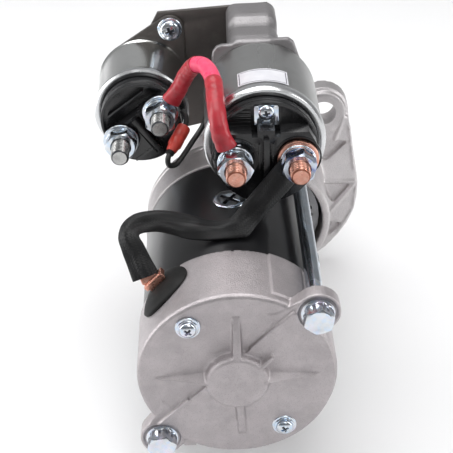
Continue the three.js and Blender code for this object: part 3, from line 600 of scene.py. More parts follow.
def braid_mat():
    """herringbone weave in the sleeve's own u (round) and v (along) coordinates, with grey glints painted on the weave
    crests in noise patches (painted highlight).
    """
    m, nt, b = nodes_of("braided_sleeve")
    tc = nt.nodes.new("ShaderNodeTexCoord")
    sep = nt.nodes.new("ShaderNodeSeparateXYZ")
    nt.links.new(tc.outputs["UV"], sep.inputs[0])
    u, v = sep.outputs["X"], sep.outputs["Y"]

    def math_(op, a, bb=None):
        n = nt.nodes.new("ShaderNodeMath")
        n.operation = op
        for i, s in enumerate((a, bb)):
            if s is None:
                continue
            if isinstance(s, bpy.types.NodeSocket):
                nt.links.new(s, n.inputs[i])
            else:
                n.inputs[i].default_value = s
        return n.outputs[0]
    U = math_("MULTIPLY", u, 20.0)          # pairs round the sleeve
    W = math_("MULTIPLY", v, 7.0)            # rows in 10 mm
    a = math_("ADD", U, W)
    c = math_("SUBTRACT", U, W)
    sa = math_("ABSOLUTE", math_("SUBTRACT", math_("FRACT", a), 0.5))
    sc = math_("ABSOLUTE", math_("SUBTRACT", math_("FRACT", c), 0.5))
    ia = math_("FLOOR", a)
    ic = math_("FLOOR", c)
    par = math_("MODULO", math_("ABSOLUTE", math_("ADD", ia, ic)), 2.0)
    over = math_("GREATER_THAN", par, 0.5)
    ha = math_("SUBTRACT", 1.0, math_("MULTIPLY", sa, 2.0))
    hc = math_("SUBTRACT", 1.0, math_("MULTIPLY", sc, 2.0))
    mixv = nt.nodes.new("ShaderNodeMix")
    mixv.data_type = "FLOAT"
    nt.links.new(over, mixv.inputs[0])
    nt.links.new(ha, mixv.inputs[2])
    nt.links.new(hc, mixv.inputs[3])
    h = mixv.outputs[0]
    fine = math_("MULTIPLY", math_("ABSOLUTE", math_("SUBTRACT", math_("FRACT", math_("MULTIPLY", a, 4.0)), 0.5)), 0.35)
    hh = math_("ADD", h, fine)
    co = tc.outputs["Object"]
    f = noise(nt, co, 160, 4)
    col = mix(nt, rng_map(nt, f, 0, 1, 0.4, 0.7), (0.003, 0.003, 0.0035), (0.007, 0.007, 0.008))
    # painted highlight: grey glints on the crests of the weave, in noise patches
    painted_glint = rng_map(nt, h, 0, 0.75, 0.80, 1.0)
    gn = rng_map(nt, noise(nt, co, 120, 3), 0, 1, 0.52, 0.66)
    col = mix(nt, math_("MULTIPLY", painted_glint, gn), col, (0.045, 0.045, 0.047))
    nt.links.new(col, b.inputs["Base Color"])
    nt.links.new(rng_map(nt, h, 0.42, 0.32, 0.2, 1.0), b.inputs["Roughness"])
    b.inputs["Specular IOR Level"].default_value = 0.32
    nt.links.new(bump(nt, hh, 0.5, 0.00022), b.inputs["Normal"])
    return m


MT["braid"] = braid_mat()


def label_mat():
    m, nt, b = nodes_of("paper_label")
    tc = nt.nodes.new("ShaderNodeTexCoord")
    sep = nt.nodes.new("ShaderNodeSeparateXYZ")
    nt.links.new(tc.outputs["UV"], sep.inputs[0])

    def edge(s, lo, hi):
        a = nt.nodes.new("ShaderNodeMath"); a.operation = "SUBTRACT"; nt.links.new(s, a.inputs[0]); a.inputs[1].default_value = 0.5
        c = nt.nodes.new("ShaderNodeMath"); c.operation = "ABSOLUTE"; nt.links.new(a.outputs[0], c.inputs[0])
        g = nt.nodes.new("ShaderNodeMath"); g.operation = "GREATER_THAN"; nt.links.new(c.outputs[0], g.inputs[0]); g.inputs[1].default_value = lo
        l = nt.nodes.new("ShaderNodeMath"); l.operation = "LESS_THAN"; nt.links.new(c.outputs[0], l.inputs[0]); l.inputs[1].default_value = hi
        return g.outputs[0], l.outputs[0]
    gu, lu = edge(sep.outputs["X"], 0.455, 0.472)
    gv, lv = edge(sep.outputs["Y"], 0.41, 0.44)

    def mul(*s):
        o = s[0]
        for q in s[1:]:
            k = nt.nodes.new("ShaderNodeMath"); k.operation = "MULTIPLY"
            nt.links.new(o, k.inputs[0]); nt.links.new(q, k.inputs[1]); o = k.outputs[0]
        return o
    mx = nt.nodes.new("ShaderNodeMath"); mx.operation = "MAXIMUM"
    nt.links.new(mul(gu, lu, lv), mx.inputs[0])
    nt.links.new(mul(gv, lv, lu), mx.inputs[1])
    paper = mix(nt, rng_map(nt, noise(nt, tc.outputs["Object"], 200, 5), 0, 1), (0.60, 0.60, 0.64), (0.68, 0.68, 0.71))
    nt.links.new(mix(nt, mx.outputs[0], paper, (0.05, 0.05, 0.07)), b.inputs["Base Color"])
    nt.links.new(rng_map(nt, noise(nt, tc.outputs["Object"], 300, 3), 0.40, 0.55), b.inputs["Roughness"])
    nt.links.new(bump(nt, noise(nt, tc.outputs["Object"], 1400, 2), 0.08, 0.00005), b.inputs["Normal"])
    return m


MT["label"] = label_mat()


def put(o, mat, body="stator", nodes=()):
    ms = mat if isinstance(mat, (list, tuple)) else [mat]
    o.data.materials.clear()
    # painted shade inside the screw's cross recess
    if "recess" in o:
        ms = ms + ["recess"]
    for k in ms:
        o.data.materials.append(MT[k])
    if "recess" in o:
        x, z, y, l = o["recess"]
        for p in o.data.polygons:
            c = np.array(p.center) * 1000 + np.array([OX, FACE, OZ])
            if c[1] > y and math.hypot(c[0] - x, c[2] - z) < l * 1.02 and c[1] < y + 1.6:
                p.material_index = 1
    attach(o, body)
    if nodes:
        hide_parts(*nodes)
    return o

# ---------------------------------------------------------------- rear cover
cover_adds = [
    lathe([(0, 0), (46.2, 0), (47.4, 0.5), (48, 1.8), (48, 36.6), (44, 36.6), (44, 4), (0, 4.2)], n=160),
    lathe([(0, -6.2), (13.6, -6.2), (14.6, -5.7), (15.2, -4.2), (15.8, -0.6), (18.2, 0.7), (18.2, 2), (0, 2)], n=110),
    lathe([(0, 2), (17, 2), (17, 9), (0, 9)], n=72),
]
# raised half of the face, on the lower right of the line through both bolts
_half = [(x, z) for x, z in circ(0, 0, 46.6, 160)]
_cut = []
for i, p in enumerate(_half):
    q = _half[(i + 1) % len(_half)]
    fp, fq = p[0] + 11 - p[1], q[0] + 11 - q[1]
    if fp >= 0:
        _cut.append(p)
    if fp * fq < 0:
        t = fp / (fp - fq)
        _cut.append((p[0] + (q[0] - p[0]) * t, p[1] + (q[1] - p[1]) * t))
cover_adds.append(slab(_cut, -1.75, 1.5))
for x, z in BOLT:
    a = math.atan2(z, x)
    u, t = np.array([math.cos(a), math.sin(a)]), np.array([-math.sin(a), math.cos(a)])
    c = np.array([x, z])
    pts = [tuple(c + 10.6 * (u * math.cos(k) + t * math.sin(k))) for k in np.linspace(-math.pi / 2, math.pi / 2, 16)]
    pts += [tuple(u * 40 + t * 12.5), tuple(u * 36 + t * 16), tuple(u * 36 - t * 16), tuple(u * 40 - t * 12.5)]
    cover_adds.append(slab(pts, -0.4, 6.5))
    cover_adds.append(lathe([(0, -1.4), (10.3, -1.4), (10.7, -0.8), (10.7, 3), (0, 3)], x, z, 64))
    cover_adds.append(box(33, 47.5, 5, 36.4, -7.5, 7.5, a))       # spine of the ear along the wall
cover_adds += [
    wedge((0, 13), (0.2, 35.8), 5.4, 4.4, 6.2, 0.4, 0, 0.72),
    wedge((0.8, -13), (1.6, -34.5), 5.4, 4.6, 4.0, 1.4, -0.9, 0.72),
    wedge((-13, 0.2), (-42.0, 0.8), 9.4, 1.6, 6.4, -0.1, 0, 0.06),
    wedge((13, 0.6), (42.0, 1.6), 9.4, 1.6, 6.2, 0.6, -1.0, 0.06),
    wedge((10, 7.8), (17.2, 13.9), 5.4, 3.4, 6.0, 4.0, -0.4, 0.4),
    wedge((-23.5, -12.5), (-39.5, -28.5), 2.6, 2.6, 2.0, 2.0, 0, 0.6),
    wedge((6.5, 17.5), (27.0, 38.0), 2.4, 2.4, 1.9, 1.9, 0, 0.6),
    box(-27.5, -21.5, 0.3, 7, -44.2, -36),
]
_pad = [slab(sector(46, 48.75, math.radians(57.5), math.radians(11.5), 14), 5.5, 36.6)]
cover_adds += _pad
late = [cyl(4.3, -4, 10, x, z, 40) for x, z in BOLT]
late += [cyl(2.6, -4, 9, x, z, 32) for x, z in BRUSH_SCREW]
late += [cyl(11.4, -3, 12, 0, 0, 48), box(-0.7, 0.7, 32.2, 38, 47.3, 50)]
cuts = [lathe([(0, -3), (9.2, -3), (9.2, -0.25), (0, -0.25)], x, z, 64) for x, z in BOLT]
cuts += [slab(sector(41, 53, 2.36, 0.225, 10), 18.5, 40)]
o = cast("rear_cover_shell", cover_adds, cuts, late, 0.5, 1)
put(o, "cast", nodes=("rear_cover",))

for i, (x, z) in enumerate(BRUSH_SCREW):
    y = -0.05 if i == 0 else -1.2
    o = panhead(f"brush_screw_{i+1}_cross", y - 1.5, 4.1, 2.7, x, z, 2.2, 11,
                (washer(6.0, 2.1, y - 0.85, y - 0.05, x, z), lathe([(2.1, y - 1.65), (4.6, y - 1.65), (4.9, y - 1.4), (4.9, y - 0.8), (2.1, y - 0.8)], x, z, 48)), 0.5 if i else 0.9)
    put(o, "zinc", nodes=(f"brush_screw_{i+1}",))

for i, (x, z) in enumerate(BOLT):
    o = make(f"through_bolt_{i+1}_flanged", *hexbolt(13, -8.6, -0.3, x, z, 0.35 if i == 0 else 0.18, 7.9, 3.9, 20), 38)
    put(o, "zinc", nodes=(f"through_bolt_{i+1}",))
    o = make(f"through_bolt_{i+1}_shank", *cyl(3.9, 20.01, 158, x, z, 48, ch=0.3))
    put(o, "rod")

# rubber grommet: a leaf-shaped pad over the notch, and the copper tab with its crimp
rows = []
CA = 2.36
nu, nv = 40, 26
for j in range(nv + 1):
    s = j / nv
    y = 13.2 + s * 24.2
    hw = 0.30 * math.sin(math.pi * min(max(s, 0.0), 1)) ** 0.55 + 0.012
    top = 2.3 * math.sin(math.pi * s) ** 0.5
    ring_ = []
    for i in range(nu):
        t = TAU * i / nu
        k = math.cos(t)
        a = CA + hw * k + 0.10 * (0.5 - s)
        lift = max(math.sin(t), 0) ** 0.7 * top * (1 - abs(k) ** 3) ** 0.6
        r = 48.15 + 0.15 + lift + (0.75 if math.sin(t) > 0 else -0.9 if hw > .1 else 0)
        ring_.append([r * math.cos(a), y, r * math.sin(a)])
    rows.append(np.array(ring_))
gV, gF = grid(rows)
o = make("lead_grommet_leaf", gV, gF, 70)
boolean(o, slab(sector(43.4, 48.4, CA, 0.20, 8), 19, 36), "UNION")
ang = CA
tabc = np.array([math.cos(ang), 0, math.sin(ang)])
tang = np.array([-math.sin(ang), 0, math.cos(ang)])
put(o, "rubber", nodes=("lead_grommet",))


def oriented(cx, ax, ay, az, hx, hy, hz):
    """box centred at cx with half sizes along the unit axes ax, ay, az."""
    V = np.array([cx + sx * hx * ax + sy * hy * ay + sz * hz * az for sx in (-1, 1) for sy in (-1, 1) for sz in (-1, 1)])
    return V, [[0, 1, 3, 2], [4, 6, 7, 5], [0, 4, 5, 1], [2, 3, 7, 6], [0, 2, 6, 4], [1, 5, 7, 3]]


Y_ = np.array([0, 1.0, 0])
tabn = np.array([0, -0.55, 0.0]) + tabc * 0.83
tabn /= np.linalg.norm(tabn)
o = make("motor_lead_tab_folded", *oriented(tabc * 50.4 + Y_ * 28, tang, Y_, tabc, 5.0, 1.1, 4.9))
boolean(o, oriented(tabc * 53.6 + Y_ * 29.3, tang, Y_, tabc, 6.0, 2.7, 1.2), "UNION")
boolean(o, oriented(tabc * 54.4 + Y_ * 30.2 - tang * 4.0, tang, Y_, tabc, 0.5, 1.6, 1.0), "DIFFERENCE")
bevel(o, 0.45, 3)
put(o, "copper", nodes=("motor_lead_tab",))

# ---------------------------------------------------------------- yoke, pole screws
o = make("yoke_shell", *lathe([(41.4, 36.8), (45.6, 36.8), (46.2, 37.2), (46.4, 38.2), (46.4, 118.8), (46.2, 119.8), (45.6, 120.2), (41.4, 120.2)], n=160))
for k in range(4):
    a = k * math.pi / 2
    d = np.array([math.cos(a), 0, math.sin(a)])
    e = np.array([-math.sin(a), 0, math.cos(a)])
    t = np.arange(48) * TAU / 48
    rws = [np.array([d * h + Y_ * 85 + e * r * math.cos(q) + Y_ * r * math.sin(q) for q in t]) for h, r in ((40, 6.2), (44.6, 8.4), (46.2, 9.2), (48.5, 9.9))]
    boolean(o, grid(rws))
o2 = oriented(np.array([math.cos(-2.3), 0, math.sin(-2.3)]) * 46.6 + Y_ * 78, np.array([math.sin(2.3), 0, math.cos(-2.3)]), Y_, np.array([math.cos(-2.3), 0, math.sin(-2.3)]), 0.35, 41.2, 0.35)
boolean(o, o2)
shade(o, 30)
put(o, "black", nodes=("yoke",))
for k in range(4):
    a = math.pi / 2 - k * math.pi / 2
    d = np.array([math.cos(a), 0, math.sin(a)])
    e = np.array([-math.sin(a), 0, math.cos(a)])
    t = np.arange(56) * TAU / 56
    rws = [np.array([d * h + Y_ * 85 + e * r * math.cos(q) + Y_ * r * math.sin(q) for q in t]) for h, r in ((39.5, 5.2), (40.6, 5.9), (45.0, 8.0), (46.1, 8.6), (46.55, 8.35), (46.7, 7.6))]
    o = make(f"pole_screw_{k+1}", *grid(rws))
    for q in (0.62, 0.62 + math.pi / 2):
        u1 = e * math.cos(q) + Y_ * math.sin(q)
        u2 = np.cross(d, u1)
        boolean(o, oriented(d * 47.2 + Y_ * 85, u1, u2, d, 5.6, 1.05, 2.2 if q < 1 else 2.18))
    bevel(o, 0.12, 2)
    put(o, "zinc")
    # painted shade inside the pole screw's cross recess
    o.data.materials.append(MT["recess"])
    for p in o.data.polygons:
        h_ = float(np.dot(np.array(p.center) * 1000 + np.array([OX, FACE, OZ]), d))
        w_ = np.linalg.norm(np.array(p.center) * 1000 + np.array([OX, FACE, OZ]) - d * h_ - Y_ * 85)
        if 44.6 < h_ < 46.3 and w_ < 6.0:
            p.material_index = 1
    c = sector(31, 41.1, a, 0.26, 10)
    o = make(f"pole_shoe_{k+1}_core", *slab(c, 60, 110))
    boolean(o, slab(sector(29.5, 32, a, 0.56, 20), 60.01, 109.99), "UNION")
    bevel(o, 0.5, 2)
    put(o, "dsteel", nodes=(f"pole_shoe_{k+1}",))

# ---------------------------------------------------------------- centre bracket and drive housing
adds = [lathe([(13.5, 132), (42, 132), (42, 121.4), (42.6, 120.4), (46.5, 120.4), (46.9, 121), (46.9, 139.3), (46.5, 139.8), (13.5, 139.8)], n=140)]
for x, z in BOLT:
    adds.append(cyl(8.5, 127, 139.8, x, z, 56))
    a = math.atan2(z, x)
    adds.append(box(36, 53, 127.6, 139.8, -7.4, 7.4, a))
o = cast("centre_bracket_ring", adds, (), [cyl(4.2, 120, 145, x, z, 40) for x, z in BOLT], 0.75, 3)
put(o, "cast3", nodes=("centre_bracket",))

flange = []
right = [(73.2, 38), (75.1, 25), (78.9, 1.1), (80.2, -9), (80, -18.2), (78.6, -26.6), (74.6, -36.4), (69.2, -45.3), (61.3, -54.8), (52, -62)]
flange += arc(57.8, 41.5, 15, 0.05, 2.55, 24)
flange += arc(OX, OZ, 47.5, 1.2, math.pi + 0.15, 30)
flange += arc(-20.8, -53.9, 15, math.pi * 0.98, math.pi * 1.55, 20)
flange += [(10, -66), (30, -67)]
flange += right[::-1]
P0 = [
    cyl(40, 140.3, 190, OX, OZ, 120),
    cyl(46.9, 140.1, 144.8, 0, 0, 140, ch=0.4),
    *[cyl(8.5, 140.1, 160, x, z, 48, ch=0.8) for x, z in BOLT],
    slab([(-38, -45.6), (18, -46.2), (0, 0), (-44, -31)], 144, 160),
    slab([(40, 98.5), (37.2, 107.2), (34.4, 109.4), (28, 109.3), (4, 107.1), (-0.7, 107.0), (-3.6, 106.2), (-5.9, 103.4), (-6.5, 100), (-6.5, 45), (-2, 40), (38, 40), (42.5, 45), (42.5, 92)], 140.1, 143.6),
    grid([np.array([[x, y, z] for x, z in rrect(xa, xb, 20, zt, 6, 8)]) for y, xa, xb, zt in ((140.2, 2.9, 29.4, 108.0), (142, 2.5, 29.8, 109.0), (147, 2.4, 29.9, 109.6), (156, 2.5, 29.8, 108.9), (161, 2.9, 29.5, 107.9), (164.5, 2.9, 29.5, 108.6), (168, 2.4, 29.9, 110.7), (171.5, 2.3, 30.0, 111.2), (180, 2.3, 30.0, 110.9), (188.2, 2.3, 30.0, 110.4))]),
    slab([(72.6, 38), (74.5, 25), (78.3, 1.1), (79.6, -9), (79.4, -18.2), (78, -26.6), (74.0, -36.2), (68.6, -45), (60.9, -54.2), (52.5, -61), (50, -52), (55, -28), (57, -6), (55, 16), (50, 30), (60, 38)], 183, 187),
    slab(flange, 186, 196),
    cyl(46, 195, 201, OX, OZ, 120, ch=0.8),
    cyl(34, 196, 262, OX, OZ, 96, 28, ch=1.2),
    # raised rim round the flange's rear face and its ear
    *[cyl(13.2, 182.5, 187, x, z, 56, ch=0.8) for x, z in ((57.8, 41.5), (-20.8, -53.9))],
]
for a, b, w1, w2, h in (
        ((57.5, -6.3), (78.6, -6.1), 4.2, 3.0, 1.1), ((60.8, 9.6), (70.1, 38.3), 5.0, 4.0, 0.9),
        ((63.4, -27.4), (78.4, -6.8), 4.4, 4.0, 0.9), ((53.7, -10.3), (58.1, -17.8), 4, 4, 1.2),
        ((58.1, -17.8), (61.3, -26.8), 4, 4, 1.2), ((61.3, -26.8), (62.2, -32.0), 4, 4, 1.2),
        ((62.2, -32.0), (52.6, -31.6), 3.4, 3, 1.2), ((62.2, -32.0), (56.0, -54.0), 4, 3.4, 1.2),
        ((77.2, 2), (73.2, 33), 2.4, 2.4, 0.8), ((78.6, -10), (77.4, -25), 2.4, 2.4, 0.8), ((77.2, -26), (68.0, -44.2), 2.4, 2.4, 0.8)):
    P0.append(wedge(a, b, w1, w2, h, h, 183, 0.15))
pockets = [slab(p, 180, y) for p, y in (
    ([(62.5, 22.8), (72.6, 21.5), (67.1, 15.9), (60.9, 9.3), (57.5, 9.0), (57.5, 21)], 186.3),
    ([(59.0, -8.0), (75.3, -8.3), (65.0, -22.0), (61.7, -17.0)], 186.3),
    ([(64.2, -34.8), (70.1, -36.8), (67.3, -41.2), (60.6, -47.5)], 186.0),
    ([(52.2, -33.9), (59.6, -33.9), (56.0, -45.5), (53.0, -48)], 185.6),
    ([(54.2, -14.6), (57.9, -19.9), (60.0, -29.6), (54.4, -29.6)], 184.6))]
P1 = [
    cyl(35.6, 130, 167.2, OX, OZ, 96), cyl(12, 130, 147, 0, 0, 48),
    cyl(15.4, 165, 176.6, OX, OZ, 48), cyl(25.4, 176.4, 256, OX, OZ, 80),
    slab(rrect(5.6, 25.9, -6, 106.2, 2), 176.4, 185.2), slab(rrect(5.6, 25.9, 32, 106.2, 2), 144.5, 185.3),
    box(OX - 24.4, OX + 24.4, 173, 200, OZ - 4, 25.5), box(OX - 7.5, OX + 7.5, 168.8, 186, 20, 36),
    cyl(12.6, 138, 146.2, SX, SZ, 48), cyl(6.85, 250, 270, OX, OZ, 48),
    cylx(3.15, OX - 14.6, OX + 13.1, 172, 44), box(OX - 30, OX + 30, 207, 255, OZ - 60, OZ - 8),
]
late = [cyl(7.5, 175, 205, 57.8, 41.5, 64), cyl(7.5, 175, 205, -20.8, -53.9, 64), *[cyl(4.1, 138, 158.5, x, z, 40) for x, z in BOLT]]
o = cast("drive_housing_casting", P0, P1 + pockets, late, 0.8, 2)
boolean(o, lathe([(15.4, 167.4), (18.6, 167.4), (18.6, 176.3), (15.4, 176.3)], OX, OZ, 64), "UNION")
shade(o, 40)
put(o, "cast2", nodes=("drive_housing",))

# ---------------------------------------------------------------- solenoid
prof = [(26.9, 83.9), (28.4, 83.4), (29.8, 83.7), (30.6, 84.8), (30.85, 86.4), (30.7, 88.6), (30.3, 90.0), (29.95, 90.9), (29.9, 92.5), (29.9, 136.2), (29.6, 137.8), (28.9, 139.0), (27.8, 139.6), (12.6, 139.8), (12.6, 136), (27.9, 135.8), (27.9, 87.9), (27.0, 87.2)]
o = make("solenoid_can_shell", *lathe(prof, SX, SZ, 160), 40)
o.data.materials.clear()
o = put(o, ["can", "crimp"], nodes=("solenoid_can",))
for p in o.data.polygons:
    c = p.center
    y = c[1] * 1000 + FACE
    if y < 90.6:
        p.material_index = 1
# blank paper label wrapped on the can
rows, uvs = [], []
nx, ny = 30, 10
V, F = [], []
for j in range(ny + 1):
    for i in range(nx + 1):
        a = math.pi / 2 + math.radians(24.5) - math.radians(49) * i / nx
        y = 92.3 + 14.2 * j / ny
        V.append([SX + 30.02 * math.cos(a), y, SZ + 30.02 * math.sin(a)])
nv_ = len(V)
V += [[SX + (p[0] - SX) * 30.14 / 30.02, p[1], SZ + (p[2] - SZ) * 30.14 / 30.02] for p in V]
w_ = nx + 1
for j in range(ny):
    for i in range(nx):
        q = [j * w_ + i, j * w_ + i + 1, (j + 1) * w_ + i + 1, (j + 1) * w_ + i]
        F.append(q)
        F.append([k + nv_ for k in q[::-1]])
edge_ = [i for i in range(w_)] + [j * w_ + nx for j in range(1, ny + 1)] + [ny * w_ + i for i in range(nx - 1, -1, -1)] + [j * w_ for j in range(ny - 1, 0, -1)]
for k in range(len(edge_)):
    a, b = edge_[k], edge_[(k + 1) % len(edge_)]
    F.append([a, b, b + nv_, a + nv_])
o = make("paper_label", V, F, 30)
layer = o.data.uv_layers.new(name="UVMap")
for p in o.data.polygons:
    for li in p.loop_indices:
        vi = o.data.loops[li].vertex_index % nv_
        layer.data[li].uv = ((vi % w_) / nx, (vi // w_) / ny)
put(o, "label")

# solenoid cap: recessed upper field, raised lower block with counterbores, ribs and barrier
adds = [
    cyl(26.55, 80, 87.6, SX, SZ, 120, ch=0.2),
    cyl(26.2, 78.5, 81, SX, SZ, 120, ch=0.3),
    slab([(SX + x, SZ + z) for x, z in arc(0, 0, 25.4, math.pi + 0.02, TAU - 0.02, 50) + [(24.6, 7), (21, 13.6), (7, 13.6), (7, 11.5), (-7, 11.5), (-7, 13.6), (-21, 13.6), (-24.6, 7)]], 69.5, 81),
    box(SX - 1.4, SX + 1.4, 65.2, 71, SZ - 13, SZ + 11.4),
    box(SX - 4.2, SX + 4.2, 69, 79, SZ + 8.5, SZ + 15.2),
    lathe([(25.0, 77.2), (26.2, 77.2), (26.2, 80), (25.0, 80)], SX, SZ, 120),
    box(SX - 6.8, SX + 7.8, 77.6, 79.5, SZ + 13.4, SZ + 25.3),
]
cuts = [cyl(22.2, 82.6, 90, SX, SZ, 80)]
for s in (-1, 1):
    x = SX + s * STUD_DX
    cuts.append(cyl(5.1, 60, 90, x, STUD_Z, 40))
    cuts.append(lathe([(0, 68), (9.7, 68), (9.7, 70.6), (0, 70.6)], x, STUD_Z, 72))
cuts += [cyl(2.4, 70, 90, SX + 0.5, SZ + 21.5, 24)]
o = csg("solenoid_cap_moulding", adds, cuts)
for k in range(5):
    zz = SZ + 15.6 + k * 2.0
    if zz < SZ + 23:
        boolean(o, box(SX - 19 + k * 1.6, SX - 7.2, 77.7, 79, zz - 0.35, zz + 0.35), "UNION")
for s in (-1, 1):
    boolean(o, lathe([(10.9, 68.9), (11.7, 68.9), (11.7, 70), (10.9, 70)], SX + s * STUD_DX, STUD_Z, 72), "UNION")
boolean(o, box(SX - 3.8, SX - 3.0, 68.6, 70, SZ - 20, SZ + 8), "UNION")
boolean(o, box(SX + 3.0, SX + 3.8, 68.6, 70, SZ - 20, SZ + 8), "UNION")
bevel(o, 0.4, 3, 30, 30)
put(o, "plastic", nodes=("solenoid_cap",))
for s, nm in ((-1, "m"), (1, "b")):
    x = SX + s * STUD_DX
    o = make(f"terminal_stud_{nm}_thread", *thread(4.9, 50, 70, x, STUD_Z, 1.5, 56, 0.9, [(4.85, 70.4), (4.85, 74.3), (7.5, 74.4), (7.5, 77.3), (1, 77.3)]), 28)
    put(o, "copper", nodes=(f"terminal_stud_{nm}",))
    # painted shade in the thread roots
    roots(o, x, STUD_Z, 4.9, "copper_root_shade", 70)
    y0 = 57.2
    o = make(f"terminal_nut_{nm}_hex", *hexnut(15.5, y0, y0 + 6.4, 4.95, x, STUD_Z, 0.30 if s > 0 else 0.02), 28)
    put(o, "zinc_blue" if s > 0 else "zinc", nodes=(f"terminal_nut_{nm}",))
    o = make(f"terminal_spring_washer_{nm}", *spring_washer(5.1, 8.4, 63.8, 65.2, x, STUD_Z, 0.2, 0.7), 40)
    put(bevel(o, 0.12, 1), "zinc")
    o = make(f"terminal_washer_{nm}", *washer(8.9, 5.1, 65.35, 66.5, x, STUD_Z))
    put(bevel(o, 0.12, 2), "zinc")
    o = make(f"terminal_back_nut_{nm}", *hexnut(14.5, 69.4, 72.5, 4.95, x, STUD_Z, 0.2), 28)
    put(o, "zinc")

cx, cz = SX + 0.5, SZ + 21.5
o = csg("switch_clamp_plate", [
    slab(rrect(cx - 5.9, cx + 5.9, cz - 6.6, cz + 3.5, 1), 76.7, 77.5),
    slab(rrect(cx - 5.9, cx - 3.4, cz - 6.6, cz + 3.5, 0.6), 75.4, 77.2),
    slab(rrect(cx + 3.4, cx + 5.9, cz - 6.6, cz + 3.5, 0.6), 75.4, 77.2),
    slab(rrect(cx - 2.0, cx + 2.0, cz - 8.2, cz - 5.5, 0.6), 75.8, 77.4),
], [cyl(2.35, 70, 90, cx, cz, 24)])
put(bevel(o, 0.2, 2), "zinc", nodes=("switch_clamp",))
o = panhead("switch_screw_cross", 76.4, 4.0, 2.6, cx, cz, 2.1, 4.6, (), 0.25)
put(o, "zinc", nodes=("switch_screw",))

# ---------------------------------------------------------------- bracket and relay
plate = [(-36, 106), (3, 108.2), (26, 109.2), (26, 52), (-9.5, 52), (-13, 35), (-50, 27), (-66, 27), (-71, 33), (-69, 45), (-46, 88)]
o = csg("relay_bracket_plate", [slab(plate, 188.5, 190.9)], [*[cyl(2.6, 180, 200, x, z, 32) for x, z in REARS]])
bevel(o, 0.9, 3, 40)
put(o, "plate", nodes=("relay_bracket",))
d = (REARS[0][0] - RX, REARS[0][1] - RZ)
L = math.hypot(*d); a = math.atan2(d[1], d[0]); c = math.acos((24.5 - 7.6) / L)
base = arc(*REARS[0], 7.6, a - c, a + c, 14) + arc(RX, RZ, 24.5, a + c, a + math.pi - c, 20) + arc(*REARS[1], 7.6, a + math.pi - c, a + math.pi + c, 14) + arc(RX, RZ, 24.5, a + math.pi + c, a + TAU - c, 20)
o = csg("relay_base_plate", [slab(base, 186.35, 188.3)], [cyl(2.6, 180, 200, x, z, 32) for x, z in REARS])
bevel(o, 0.35, 3)
put(o, "plate", nodes=("relay_base",))
prof = [(22.4, 145.6), (23.6, 145.2), (25.0, 145.3), (25.9, 146.2), (26.0, 147.6), (25.8, 149.4), (25.35, 150.4), (25.1, 151.6), (25.1, 181.2), (24.9, 183.0), (25.4, 183.8), (25.7, 184.8), (25.2, 185.9), (24.0, 186.2), (0, 186.2)]
rw = [ringpts(r, y, RX, RZ, 144) for r, y in prof[:-1]]
inner = [ringpts(r, y, RX, RZ, 144) for r, y in ((23.1, 184.6), (23.1, 148.8), (22.4, 148.4))]
o = make("relay_can_shell", *grid([inner[2]] + rw[::1] + [ringpts(0.5, 186.2, RX, RZ, 144)], True, False), 40)
mm = o.modifiers.new("t", "SOLIDIFY"); mm.thickness = -0.0009; mm.offset = 1
apply(o)
fix_normals(o); shade(o, 40)
o = put(o, ["relay", "crimp"], nodes=("relay_can",))
for p in o.data.polygons:
    if p.center[1] * 1000 + FACE < 150.2:
        p.material_index = 1
ar = math.atan2(RSTUD[0][1] - RSTUD[1][1], RSTUD[0][0] - RSTUD[1][0])
adds = [
    cyl(22.1, 139, 148.6, RX, RZ, 120, ch=0.3),
    slab([(RX + x, RZ + z) for x, z in arc(0, 0, 21.9, ar - math.pi - 0.30, ar + 0.30, 70)], 131.3, 140),
    box(-20.5, 20.5, 130.2, 140, 5.2, 7.0, ar, (RX, RZ)),
    box(-16, 16, 130.9, 140, -15.6, -14.2, ar, (RX, RZ)),
    box(-1.4, 1.4, 127.0, 134, -19.6, 6.0, ar + 0.0, (RX, RZ)),
    box(-4.0, -3.0, 130.4, 134, -18.5, 6.0, ar, (RX, RZ)),
    box(3.0, 4.0, 130.4, 134, -18.5, 6.0, ar, (RX, RZ)),
    lathe([(20.6, 136.0), (21.9, 136.0), (21.9, 141), (20.6, 141)], RX, RZ, 120),
    box(-12, 12, 135.4, 140, 12.6, 13.8, ar, (RX, RZ)),
]
cuts = [cyl(20.2, 142, 150, RX, RZ, 80)]
for x, z in RSTUD:
    cuts.append(cyl(5.1, 120, 150, x, z, 40))
    cuts.append(cyl(10.6, 128, 132.0, x, z, 72))
o = csg("relay_cap_moulding", adds, cuts)
bevel(o, 0.4, 3, 30, 30)
put(o, "plastic", nodes=("relay_cap",))
for i, (x, z) in enumerate(RSTUD):
    ny = 122.4 if i else 119.8
    o = make(f"relay_stud_{i+1}_thread", *thread(4.9, 111, 128.6, x, z, 1.5, 56, 0.9, [(4.85, 128.8), (4.85, 142.3), (6, 142.4), (6, 145), (1, 145)]), 28)
    put(o, "stud", nodes=(f"relay_stud_{i+1}",))
    # painted shade in the thread roots
    roots(o, x, z, 4.9, "recess", 128.6)
    o = make(f"relay_nut_{i+1}_hex", *hexnut(15.5, ny, ny + 6.4, 4.95, x, z, 0.10 if i else 0.45), 28)
    put(o, "zinc", nodes=(f"relay_nut_{i+1}",))
    top = 126.4 if i == 0 else 128.9
    o = make(f"relay_washer_{i+1}", *washer(9.8, 5.1, 129.0, 130.9, x, z, 72))
    put(bevel(o, 0.2, 2), "zinc")
    if i:
        o = make(f"relay_spring_washer_{i+1}", *spring_washer(5.2, 8.4, 127.2, 128.9, x, z, 0.18, 1.2), 40)
        put(bevel(o, 0.12, 1), "zinc")
for i, (x, z) in enumerate(REARS):
    o = panhead(f"relay_screw_{i+1}_cross", 184.3, 5.6, 3.3, x, z, 2.4, 9.5, (washer(6.9, 2.4, 184.5, 185.2, x, z), cyl(5.4, 184.9, 186.3, x, z, 48)), 0.35)
    put(o, "zinc", nodes=(f"relay_screw_{i+1}",))

